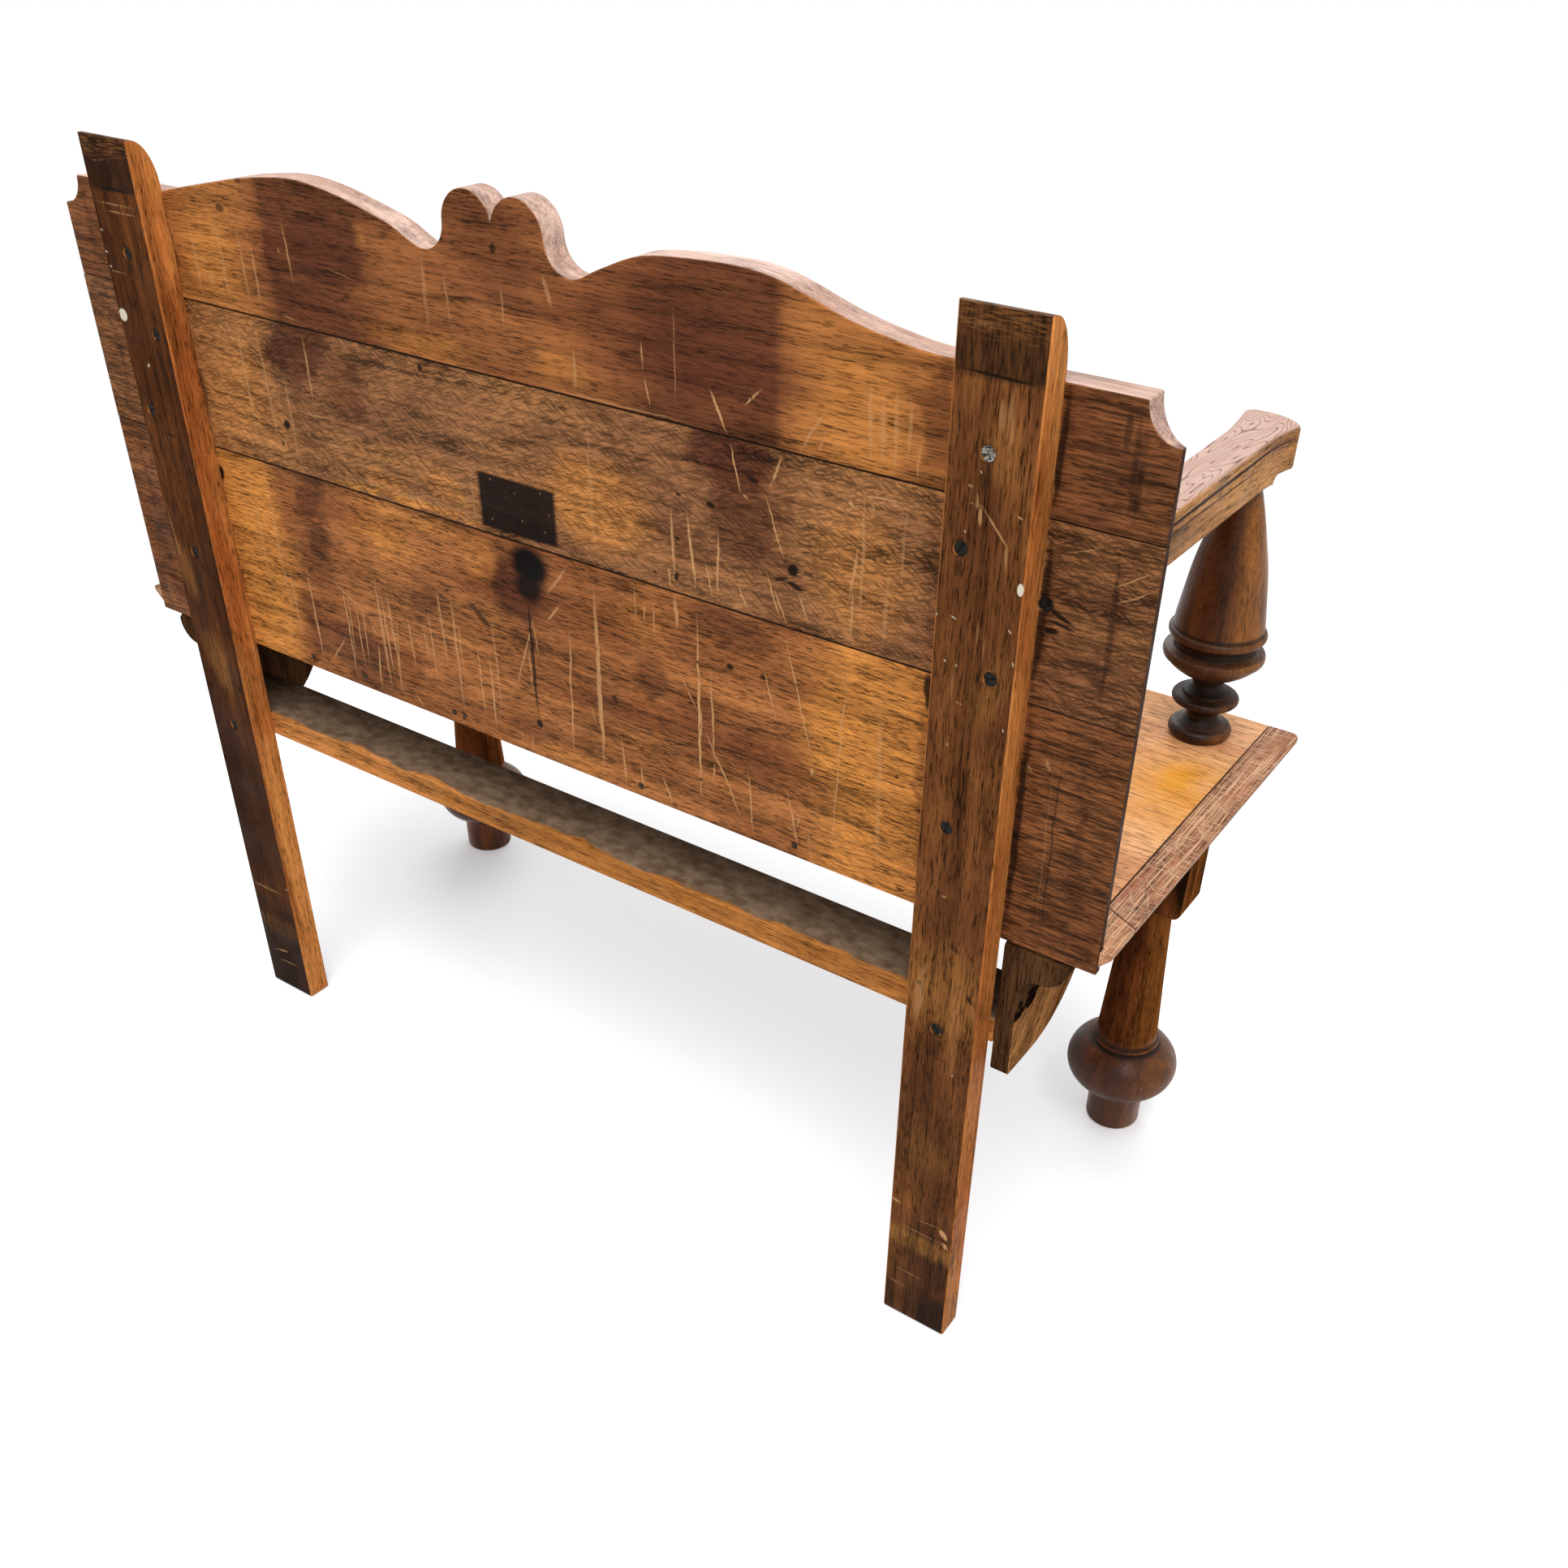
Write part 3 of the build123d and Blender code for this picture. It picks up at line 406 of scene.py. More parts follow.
# Rows at x = 396 to 403 and -366 to -383 are painted shade along the posts' inner edges; the rest are dark
# zones in the wood.
TOP_DARK = (
    (268, 868, 262, 800, 10, 0.8),
    (272, 846, 125, 852, 46, 0.9), (250, 815, 150, 828, 24, 0.6), (262, 800, 236, 778, 22, 0.6),
    (60, 878, -40, 874, 32, 0.4), (-105, 838, -248, 836, 60, 0.85), (-150, 812, -225, 800, 36, 0.6),
    (-195, 888, -246, 870, 34, 0.4), (403, 880, 396, 770, 10, 0.7), (-366, 866, -380, 780, 18, 0.5),
    (-379, 880, -383, 770, 9, 0.5), (-60, 850, -120, 846, 16, 0.35), (40, 850, -30, 842, 14, 0.3),
)
# The row from x = -462 to -460 is a painted shade line beside the near post's outer edge; the rest are
# stains.
TOP_STAINS_AND_SHADE = (
    (327, 865, 314, 864, 4, 0.7), (296, 889, 286, 889, 3, 0.7), (15, 878, 7, 875, 5, 0.75),
    (-461, 801, -500, 803, 1.2, 0.5), (-461, 822, -492, 820, 1.0, 0.4), (-509, 868, -511, 784, 3, 0.4),
    (-503, 862, -502, 830, 3, 0.5), (-515, 836, -514, 786, 3, 0.5), (-462, 872, -460, 780, 3, 0.7),
    (-470, 850, -505, 848, 1.6, 0.4), (-466, 834, -512, 833, 2.0, 0.45), (-472, 812, -520, 811, 1.6, 0.4),
    (-480, 796, -535, 795, 1.8, 0.4), (-490, 858, -530, 858, 1.6, 0.35), (-465, 788, -500, 788, 1.6, 0.4),
)
TOP_SCORES = (
    (365, 858, 366, 782, 2.2, 0.4), (331, 860, 329, 782, 2.4, 0.4), (304, 862, 302, 782, 2.0, 0.35),
    (290, 850, 288, 782, 1.8, 0.5), (245, 868, 242, 812, 1.4, 0.6), (256, 842, 254, 838, 1.6, 0.7),
    (88, 868, 88, 800, 2.6, 0.3), (66, 855, 62, 806, 1.6, 0.35), (6, 855, 6, 815, 1.4, 0.35),
    (-36, 868, -44, 840, 3.0, 0.45), (-62, 822, -62, 782, 2.2, 0.4), (-157, 868, -157, 790, 1.0, 0.35),
    (-127, 836, -128, 812, 1.0, 0.75), (-128, 812, -134, 786, 1.0, 0.7), (-187, 816, -204, 781, 1.5, 0.95),
    (-234, 822, -217, 804, 1.3, 0.8), (-290, 824, -262, 776, 1.6, 0.4), (-288, 806, -280, 784, 1.4, 0.4),
    (-321, 850, -322, 782, 2.4, 0.4), (-331, 842, -332, 782, 3.0, 0.35), (-341, 846, -342, 782, 2.4, 0.4),
    (-352, 842, -352, 790, 2.0, 0.35), (-361, 812, -360, 782, 1.2, 0.5), (-20, 783, -180, 784, 0.8, 0.5),
    (353, 806, 346, 800, 3.0, 0.35), (265, 789, 246, 785, 0.8, 0.6), (200, 835, 160, 830, 0.6, 0.4),
)
MIDDLE_HONEY = (
    (400, 725, 285, 700, 66, 0.4), (-262, 700, -378, 705, 70, 0.35), (255, 655, 30, 654, 6, 0.75),
    (120, 690, 60, 665, 16, 0.35), (0, 705, -150, 695, 50, 0.55), (200, 668, 120, 662, 12, 0.4),
)
# Rows at x = 396 to 403 and -374 to -380 are painted shade along the posts' inner edges; the rest are dark
# zones in the wood.
MIDDLE_DARK = (
    (268, 795, 240, 725, 56, 0.85), (236, 755, 165, 720, 40, 0.5), (-150, 775, -262, 758, 40, 0.9),
    (-180, 745, -255, 695, 40, 0.75), (-120, 705, -200, 680, 22, 0.35), (403, 785, 396, 645, 9, 0.6),
    (-374, 785, -380, 645, 9, 0.35), (-60, 776, -110, 774, 10, 0.35), (290, 680, 278, 665, 10, 0.35),
)
# The row from x = -462 to -460 is a painted shade line beside the near post's outer edge; the rest are
# stains.
MIDDLE_STAINS_AND_SHADE = (
    (289, 693, 278, 690, 5, 0.95), (296, 673, 291, 671, 3, 0.8), (108, 774, 101, 773, 3.5, 0.8),
    (-219, 755, -232, 754, 3, 0.85), (-181, 728, -192, 726, 3, 0.85), (-154, 728, -160, 727, 2, 0.8),
    (-150, 663, -156, 661, 5, 0.85), (-152, 693, -158, 692, 2.4, 0.8), (-255, 695, -267, 694, 6, 0.95),
    (-243, 682, -258, 689, 2.4, 0.85), (-254, 685, -272, 680, 3, 0.8), (-128, 660, -134, 659, 1.6, 0.8),
    (172, 749, 168, 747, 1.6, 0.7), (-461, 722, -486, 713, 2.6, 0.9), (-461, 713, -489, 710, 1.6, 0.9),
    (-461, 705, -476, 706, 3.0, 0.9), (395, 650, 400, 649, 2.0, 0.7), (-462, 781, -460, 650, 4, 0.7),
    (-509, 780, -511, 650, 3, 0.45), (-468, 765, -520, 764, 1.8, 0.4), (-470, 690, -530, 688, 2.0, 0.4),
    (-480, 672, -540, 671, 1.6, 0.35), (-466, 742, -505, 741, 1.6, 0.35), (-490, 726, -540, 725, 1.6, 0.35),
)
MIDDLE_SCORES = (
    (329, 780, 327, 655, 2.4, 0.35), (303, 780, 298, 660, 2.2, 0.35), (276, 745, 275, 660, 1.6, 0.4),
    (243, 780, 242, 712, 2.0, 0.55), (275, 706, 215, 708, 1.0, 0.5), (352, 768, 342, 758, 1.4, 0.6),
    (-204, 781, -216, 736, 1.1, 0.9), (-216, 742, -222, 738, 1.6, 0.6), (-251, 780, -240, 748, 1.3, 0.8),
    (-235, 748, -255, 697, 1.1, 0.9), (-149, 722, -151, 650, 2.0, 0.7), (-164, 722, -172, 649, 1.7, 0.95),
    (-194, 712, -192, 650, 1.6, 0.75), (-180, 684, -188, 651, 1.2, 0.7), (-211, 671, -222, 650, 1.2, 0.8),
    (-236, 690, -252, 649, 1.2, 0.85), (-244, 678, -257, 649, 1.0, 0.8), (-264, 681, -276, 655, 1.0, 0.8),
    (-320, 780, -320, 650, 1.6, 0.4), (-316, 732, -310, 680, 1.8, 0.55), (-342, 720, -340, 650, 2.4, 0.3),
    (-314, 700, -312, 649, 1.6, 0.5), (-306, 758, -312, 753, 1.4, 0.9), (-318, 764, -352, 767, 1.0, 0.75),
    (-325, 762, -330, 752, 1.8, 0.4), (-354, 772, -352, 700, 1.8, 0.3), (-70, 780, -70, 650, 2.6, 0.25),
    (230, 660, 60, 658, 1.4, 0.4), (-145, 670, -146, 649, 1.4, 0.7), (60, 700, 59, 650, 1.0, 0.4),
    (-470, 760, -500, 772, 0.8, 0.4), (-505, 745, -536, 765, 0.9, 0.5), (-508, 735, -537, 752, 0.9, 0.45),
)
BOTTOM_HONEY = (
    (392, 620, 322, 480, 70, 0.85), (360, 640, 330, 450, 46, 0.9), (-285, 640, -372, 470, 70, 1.0),
    (-340, 640, -335, 455, 44, 1.0), (230, 620, 120, 600, 30, 0.45), (-80, 620, -150, 600, 24, 0.3),
    (60, 456, -110, 457, 9, 0.45), (80, 640, 40, 600, 26, 0.35), (230, 640, 60, 636, 14, 0.4),
)
# Rows at x = 397 to 405 and -378 to -383 are painted shade along the posts' inner edges; the rest are dark
# zones in the wood.
BOTTOM_DARK = (
    (285, 640, 255, 612, 40, 0.65), (282, 600, 252, 570, 26, 0.6), (300, 540, 285, 450, 24, 0.45),
    (255, 470, 200, 462, 16, 0.35), (62, 622, -20, 592, 44, 0.85), (40, 570, -10, 560, 22, 0.35),
    (-105, 565, -142, 562, 25, 0.5), (-150, 560, -195, 540, 26, 0.4), (-155, 640, -262, 622, 18, 0.55),
    (-190, 545, -262, 510, 26, 0.35), (-20, 500, -120, 520, 30, 0.25), (405, 650, 397, 440, 8, 0.6),
    (-378, 655, -383, 440, 7, 0.35), (60, 480, -20, 470, 20, 0.3), (150, 575, 118, 545, 24, 0.4),
    (-70, 640, -120, 638, 10, 0.3), (180, 500, 150, 470, 20, 0.25), (290, 490, 170, 470, 50, 0.55),
)
# The row from x = -462 to -460 is a painted shade line beside the near post's outer edge; the rest are
# stains.
BOTTOM_STAINS_AND_SHADE = (
    (30, 630, -24, 630, 24, 1.0), (24, 618, -12, 606, 20, 0.9), (8.5, 612, 8, 476, 2.2, 0.85),
    (11, 571, 5, 570, 4, 0.9), (12, 482, 3, 479, 5, 0.95), (-198, 600, -208, 600, 3.4, 0.9),
    (-231, 601, -238, 600, 3, 0.8), (-170, 594, -174, 593, 2, 0.8), (-79, 535, -87, 534, 4, 0.7),
    (78, 576, 53, 556, 4.5, 0.7), (82, 574, 70, 573, 3, 0.6), (402, 625, 388, 618, 13, 1.0),
    (-379, 652, -382, 612, 5, 0.9), (-356, 555, -361, 555, 2, 0.7), (-345, 596, -349, 596, 1.5, 0.7),
    (-362, 454, -374, 454, 2, 0.8), (-68, 471, -80, 470, 4, 0.5), (-170, 486, -174, 485, 2, 0.8),
    (311, 458, 299, 454, 5, 0.45), (239, 462, 229, 458, 6, 0.55), (121, 458, 110, 456, 4, 0.5),
    (106, 461, 99, 458, 3, 0.5), (-102, 457, -111, 455, 4.5, 0.7), (-262, 457, -271, 455, 4.5, 0.6),
    (192, 504, 184, 503, 2, 0.7), (-461, 492, -510, 492, 1.2, 0.6), (-489, 640, -490, 440, 1.2, 0.5),
    (-462, 650, -460, 440, 4, 0.7), (-466, 628, -530, 627, 1.8, 0.45), (-470, 590, -540, 588, 2.2, 0.45),
    (-466, 566, -520, 565, 1.8, 0.45), (-480, 540, -545, 539, 2.2, 0.45), (-465, 516, -530, 515, 2.0, 0.45),
    (-470, 474, -540, 473, 2.4, 0.5), (-466, 456, -545, 455, 3.0, 0.5), (-500, 610, -540, 609, 1.6, 0.4),
    (250, 462, 246, 446, 5, 0.35), (-140, 452, -146, 448, 4, 0.5),
)
BOTTOM_SCORES = (
    (-67, 648, -65, 446, 3.0, 0.75), (-68, 600, -66, 450, 1.6, 0.95), (-37, 602, -30, 446, 1.4, 0.85),
    (-172, 648, -172, 446, 1.7, 1.0), (-173, 560, -173, 520, 2.6, 0.8), (-86, 502, -91, 446, 1.3, 0.8),
    (-107, 482, -110, 446, 1.2, 0.75), (-129, 478, -144, 446, 1.3, 0.8), (-149, 585, -173, 545, 1.0, 0.75),
    (-173, 545, -219, 452, 1.1, 0.85), (-184, 594, -187, 500, 1.3, 0.8), (-187, 508, -184, 488, 1.2, 0.7),
    (-220, 517, -226, 446, 1.1, 0.8), (-257, 514, -273, 446, 1.1, 0.85), (-272, 494, -268, 470, 1.0, 0.6),
    (-253, 648, -284, 534, 1.1, 0.9), (-234, 612, -250, 560, 1.0, 0.85), (-312, 648, -301, 446, 1.1, 0.6),
    (-150, 648, -152, 615, 2.6, 0.8), (-119, 632, -119, 612, 1.0, 0.7), (-128, 634, -129, 604, 1.0, 0.7),
    (-110, 648, -110, 606, 0.9, 0.5), (-341, 640, -345, 450, 3.0, 0.3), (-283, 535, -282, 528, 2.0, 0.8),
    (-280, 480, -284, 446, 1.2, 0.4), (4, 584, 2, 545, 1.2, 0.5), (0, 592, 33, 505, 1.1, 0.8),
    (-40, 642, -12, 606, 1.8, 0.6), (-28, 604, -10, 582, 1.4, 0.75), (13, 556, 12, 508, 1.1, 0.7),
    (293, 560, 291, 448, 1.5, 0.85), (319, 560, 316, 462, 2.0, 0.4), (246, 560, 244, 446, 1.6, 0.7),
    (240, 548, 242, 470, 1.2, 0.6), (232, 545, 230, 460, 1.2, 0.7), (222, 548, 224, 466, 1.4, 0.6),
    (262, 553, 213, 524, 1.3, 0.6), (215, 525, 207, 506, 1.4, 0.7), (207, 506, 212, 448, 1.4, 0.85),
    (250, 496, 281, 458, 1.2, 0.75), (200, 580, 197, 446, 2.6, 0.6), (194, 560, 191, 460, 1.6, 0.7),
    (186, 575, 182, 446, 2.0, 0.6), (176, 540, 186, 450, 1.2, 0.6), (161, 545, 160, 484, 1.6, 0.7),
    (166, 462, 156, 448, 1.2, 0.6), (143, 540, 138, 500, 1.2, 0.5), (133, 566, 132, 470, 1.6, 0.55),
    (119, 590, 116, 500, 2.4, 0.5), (103, 592, 101, 448, 1.8, 0.65), (97, 560, 96, 500, 1.2, 0.5),
    (76, 545, 75, 455, 1.5, 0.7), (62, 540, 62, 448, 1.8, 0.75), (54, 575, 53, 470, 1.8, 0.45),
    (84, 548, 62, 546, 0.8, 0.3), (30, 470, 32, 446, 1.0, 0.5), (18, 468, 20, 446, 1.0, 0.5),
    (329, 648, 326, 480, 3.0, 0.3), (352, 640, 350, 500, 3.0, 0.25), (-56, 520, -60, 500, 1.0, 0.5),
    (-476, 612, -482, 600, 2.0, 0.4), (-462, 603, -470, 596, 1.6, 0.4), (-483, 635, -486, 450, 1.2, 0.12),
)
TOP_BANDS = (((288, 420, 14, 5, 0.35), (-400, -262, 5, 12, 0.3)),
             ((160, 272, 60, 8, 0.72), (-248, -112, 7, 50, 0.78)))
MIDDLE_BANDS = (((290, 420, 16, 5, 0.2),), ((-262, -235, 8, 26, 0.35), (240, 270, 30, 8, 0.35)))
BOTTOM_BANDS = (((320, 420, 14, 5, 0.95), (-400, -290, 5, 30, 0.9)), ((252, 282, 20, 10, 0.3),))
TOP_SEAMS = ((-900, 781.1, 900, 781.1, 1.3, 0.95),)
MIDDLE_SEAMS = ((-900, 780.7, 900, 780.7, 1.0, 0.7), (-900, 648.2, 900, 648.2, 1.3, 0.95))
BOTTOM_SEAMS = ((-900, 647.8, 900, 647.8, 1.0, 0.7),)
eased("back_board_top", 0.0012, back_oak(
    "old_oak_top_board", TOP_TONES, 1.0, TOP_HONEY, TOP_DARK + WING_DARK, TOP_BANDS, TOP_SEAMS,
    TOP_STAINS_AND_SHADE, TOP_SCORES))
eased("back_board_middle", 0.0008, back_oak(
    "old_oak_middle_board", MIDDLE_TONES, 2.0, MIDDLE_HONEY, MIDDLE_DARK + WING_DARK, MIDDLE_BANDS,
    MIDDLE_SEAMS, MIDDLE_STAINS_AND_SHADE, MIDDLE_SCORES, pore=0.3, hatch=0.56, square=True))
eased("back_board_bottom", 0.0008, back_oak(
    "old_oak_bottom_board", BOTTOM_TONES, 3.0, BOTTOM_HONEY, BOTTOM_DARK + WING_DARK, BOTTOM_BANDS,
    BOTTOM_SEAMS, BOTTOM_STAINS_AND_SHADE, BOTTOM_SCORES, pore=1.2, hatch=0.25))


# Seat: one wide quarter-sawn board between two cross-grained ends, all undercut along the front.
# It faces up and has faded to gold with dark open pores. The ends are redder and scored along
# their length, and the left one was mended with a separate patch behind a slanted joint.
SEAT_TOP = 0.468
SEAT_TONES = ("#C98D60", "#E4AC79")
SEAT_END_TONES = ("#965E41", "#BA8260")
PATCH_TONES = ("#B07854", "#CE9870")
SEAT_END_FRONT = "#7E4526"
AMBER = "#F0A22C"
SEAT_PORE = "#5A3418"
CRACKLE = "#E2B890"
SCRATCH = "#DCB48E"
SEAT_JOINT = "#2E1B10"
UNDERSIDE = "#5A3A24"
# Marks on the seat, by x and y in millimetres.
AMBER_ROWS = (
    (-520, -60, -450, -100, 60, 0.95), (-505, -120, -470, -10, 34, 0.9), (-530, 60, -450, -160, 130, 0.6),
)
SEAT_SEAMS = (
    (-518.2, -400, -518.2, 400, 1.1, 0.9), (518.2, -400, 518.2, 400, 1.1, 0.9),
    (-488.6, 120.5, -577.7, 163.1, 0.9, 0.8),
)
SEAT_SCRATCHES = (
    (-529, -210, -530, 70, 0.7, 0.9), (-537, -190, -535, 40, 0.6, 0.8), (-524, -150, -526, 120, 0.6, 0.8),
    (-541, -90, -540, 100, 0.6, 0.8), (-533, 10, -531, 140, 0.7, 0.8), (-522, -66, -546, -44, 0.6, 0.8),
    (-521, -24, -547, 4, 0.6, 0.9), (-520, 20, -545, 36, 0.6, 0.8), (-521, 46, -547, 70, 0.7, 0.9),
    (-523, 78, -545, 100, 0.6, 0.8), (-520, -104, -540, -92, 0.6, 0.8), (-522, -150, -545, -140, 0.6, 0.7),
    (-528, 60, -536, 118, 0.6, 0.8), (-543, 20, -534, 90, 0.6, 0.7), (-521, -8, -533, 44, 0.6, 0.8),
    (-535, 96, -546, 122, 0.6, 0.8), (-522, 100, -534, 126, 0.6, 0.8), (-526, -40, -540, 0, 0.6, 0.7),
)


def seat_oak(name, axis, tones, seed, ring=6.0, pore=1.0, warm=(), bands=1.0):
    """Oak with clear pores, dark joint lines and pale scratches. The board has an amber patch of
    thick old finish near the left arm support, and the ends are crackled and redder in front."""
    material, place = wood(name)
    tree = material.node_tree
    scratched = marks(tree, place, SEAT_SCRATCHES, plane=2, level=SEAT_TOP, soft=0.5)
    broken = grain(tree, place, 1, 9, 4, 0.3, 0.5, seed=seed + 5)
    scratched = add(tree, "Math", {0: scratched, 1: broken}, operation="MULTIPLY")
    y = add(tree, "SeparateXYZ", {"Vector": place}, out=1)
    front = add(tree, "MapRange", {0: y, 1: -0.02, 2: -0.216, 4: 0.7 if axis == 1 else 0.0})
    colour, height = oak(tree, place, axis, tones, ring=ring, pore=pore, seed=seed, bands=bands,
                         zones=((front, SEAT_END_FRONT),))
    amber = marks(tree, place, warm, plane=2, level=SEAT_TOP)
    ragged = grain(tree, place, 0, 40, 8, 0.1, 0.45, seed=seed + 9)
    amber = add(tree, "Math", {0: amber, 1: ragged}, operation="MULTIPLY")
    if axis == 0:
        lines = grain(tree, place, 0, 34, 1.3, 0.56, 0.66, detail=1.0, seed=seed + 15)
        lines = add(tree, "Math", {0: lines, 1: 0.6}, operation="MULTIPLY")
    else:
        lengthwise = grain(tree, place, 1, 60, 1.2, 0.54, 0.64, twist=0.5, detail=1.0, seed=seed + 17)
        crosswise = grain(tree, place, 0, 20, 1.2, 0.57, 0.67, twist=0.7, detail=1.0, seed=seed + 19)
        lines = add(tree, "Math", {0: lengthwise, 1: crosswise}, operation="MAXIMUM")
        lines = add(tree, "Math", {0: lines, 1: 0.8}, operation="MULTIPLY")
    seam = marks(tree, place, SEAT_SEAMS, plane=2, level=SEAT_TOP, soft=0.5)
    below = facing(tree, 2, -0.2, -0.6)
    for share, tone in ((amber, AMBER), (lines, SEAT_PORE if axis == 0 else CRACKLE), (scratched, SCRATCH),
                        (seam, SEAT_JOINT), (below, UNDERSIDE)):
        colour = add(tree, "Mix", {0: share, 6: colour, 7: tone}, 2, data_type="RGBA")
    return polish(material, colour, height, place, rough=(0.35, 0.55), shine=0.1)


eased("seat_board", 0.0008, seat_oak(
    "quarter_sawn_seat_oak", 0, SEAT_TONES, 21.0, pore=1.3, bands=0.25, warm=AMBER_ROWS))
seat_end_wood = seat_oak("seat_end_oak", 1, SEAT_END_TONES, 23.0, ring=4.0)
eased("seat_end_left", 0.0007, seat_end_wood)
eased("seat_end_right", 0.0007, seat_end_wood)
eased("seat_end_patch", 0.0007, seat_oak("seat_patch_oak", 1, PATCH_TONES, 25.0, ring=4.0))


# Rear rail: a flat oak board between the brackets, screwed through the posts. Its top is grey with
# dust, and its rear edge is orange and rounded by wear.
RAIL_TONES = ("#A3672F", "#CC8546")
DUST_TONES = ("#634D3A", "#8F7861")


def rail_oak():
    """Orange oak below a coat of dust that lies on the upward faces only."""
    material, place = wood("dusty_rail_oak")
    tree = material.node_tree
    colour, height = oak(tree, place, 0, RAIL_TONES, ring=5.0, seed=31.0)
    up = facing(tree, 2, 0.35, 0.85)
    dust = grain(tree, place, 0, 14, 9, 0.25, 0.75, detail=12.0, seed=33.0)
    fluff = add(tree, "Mix", {0: dust, 6: DUST_TONES[0], 7: DUST_TONES[1]}, 2, data_type="RGBA")
    # The dust stops short of the rear edge, at a wavy line.
    rubbed = grain(tree, place, 0, 60, 60, 0.0, 1.0, detail=6.0, seed=35.0)
    y = add(tree, "SeparateXYZ", {"Vector": place}, out=1)
    y = add(tree, "Math", {0: rubbed, 1: 0.022, 2: y}, operation="MULTIPLY_ADD")
    inside = add(tree, "MapRange", {0: y, 1: 0.2005, 2: 0.1965})
    up = add(tree, "Math", {0: up, 1: inside}, operation="MULTIPLY")
    colour = add(tree, "Mix", {0: up, 6: colour, 7: fluff}, 2, data_type="RGBA")
    return polish(material, colour, height, place, rough=(0.6, 0.85))


eased("rear_rail", 0.002, rail_oak())


# Corner brackets: moulded pieces of dark oak under the ends of the seat, cut to a quarter curve at
# the front, glued under the seat and against the back. The side aprons and the front apron are
# plain boards of the same wood.
BRACKET_TONES = ("#3A2516", "#5C3F28")
BRACKET_BARE = ("#643E20", "#AE7848")
BRACKET_BLACK = "#1A100A"
APRON_TONES = ("#4A2E1B", "#664226")


def dark_oak(name, axis, tones, seed, worn=False):
    """Dark finished oak. A worn moulded face shows lighter wood below a ragged, blackened line."""
    material, place = wood(name)
    tree = material.node_tree
    colour, height = oak(tree, place, axis, tones, ring=5.0, seed=seed)
    if worn:
        # The line falls towards the rear, and the grain below it runs slantwise.
        slanted = add(tree, "VectorRotate", {"Vector": place, "Angle": 0.87}, rotation_type="X_AXIS")
        bare, _ = oak(tree, slanted, 1, BRACKET_BARE, ring=3.0, pore=2.5, seed=seed + 2)
        ragged = add(tree, "TexNoise", {"Vector": place, "Scale": 60.0, "Detail": 8.0})
        y = add(tree, "SeparateXYZ", {"Vector": place}, out=1)
        z = add(tree, "SeparateXYZ", {"Vector": place}, out=2)
        edge = add(tree, "Math", {0: y, 1: 0.3, 2: z}, operation="MULTIPLY_ADD")
        edge = add(tree, "Math", {0: ragged, 1: 0.07, 2: edge}, operation="MULTIPLY_ADD")
        below = add(tree, "MapRange", {0: edge, 1: 0.462, 2: 0.459})
        line = add(tree, "MapRange", {0: edge, 1: 0.477, 2: 0.472})
        across = add(tree, "SeparateXYZ", {"Vector": place}, out=0)
        across = add(tree, "Math", {0: across}, operation="ABSOLUTE")
        outer = add(tree, "MapRange", {0: across, 1: 0.4625, 2: 0.464})
        sides = facing(tree, 0, 0.3, 0.6, both=True)
        sides = add(tree, "Math", {0: sides, 1: outer}, operation="MULTIPLY")
        line = add(tree, "Math", {0: line, 1: sides}, operation="MULTIPLY")
        below = add(tree, "Math", {0: below, 1: sides}, operation="MULTIPLY")
        for share, tone in ((line, BRACKET_BLACK), (below, bare)):
            colour = add(tree, "Mix", {0: share, 6: colour, 7: tone}, 2, data_type="RGBA")
    return polish(material, colour, height, place, shine=0.0)


bracket_wood = dark_oak("bracket_oak", 2, BRACKET_TONES, 43.0, worn=True)
eased("corner_bracket_left", 0.0012, bracket_wood)
eased("corner_bracket_right", 0.0012, bracket_wood)
apron_wood = dark_oak("apron_oak", 1, APRON_TONES, 45.0)
eased("side_apron_left", 0.0008, apron_wood)
eased("side_apron_right", 0.0008, apron_wood)
eased("front_apron", 0.0008, dark_oak("front_apron_oak", 0, APRON_TONES, 47.0))


# Front legs: oak squares left whole at the top, where the aprons meet them, and turned on a lathe
# below to a tapered shaft, a thin ring, a flattened ball and a plain foot. Polish has pooled dark
# in the hollows and worn through on the rounds.
LEG_MIDDLE = (-0.4595, -0.1508)
LEG_TONES = ("#4C2612", "#7C4522")
# The rubbed tone is wear with painted light on the lit side. The deep tone is darker wood with painted shade
# on the other sides.
TURNED_RUBBED_AND_LIT = "#A0642A"
TURNED_DARK_AND_SHADED = "#2B170C"
HOLLOW = "#1F140E"
CRACK_AND_SHADE = "#120C08"
HEAD_HALF_WIDTHS = (38.5, 32)


def turn(profile, middle, sides=112):
    """A lathe-turned skin: each point of the profile, a radius and a height in mm, goes round a
    standing axis."""
    radius, height = np.asarray(profile, float).T[:, :, None] / 1000
    angle = np.linspace(0, 2 * np.pi, sides, endpoint=False)[None, :]
    round_x = middle[0] + radius * np.cos(angle)
    round_y = middle[1] + radius * np.sin(angle)
    return np.stack([round_x, round_y, np.broadcast_to(height, round_x.shape)], axis=2)


def bead(flat, swell, low, high, steps=13):
    """A bead's profile: radius flat + swell * sqrt(1 - t^2), with t from -1 to 1 up its height."""
    t = -np.cos(np.linspace(0, np.pi, steps))
    return np.stack([flat + swell * np.sqrt(np.maximum(1 - t * t, 0)), low + (high - low) * (t + 1) / 2],
                    axis=1)


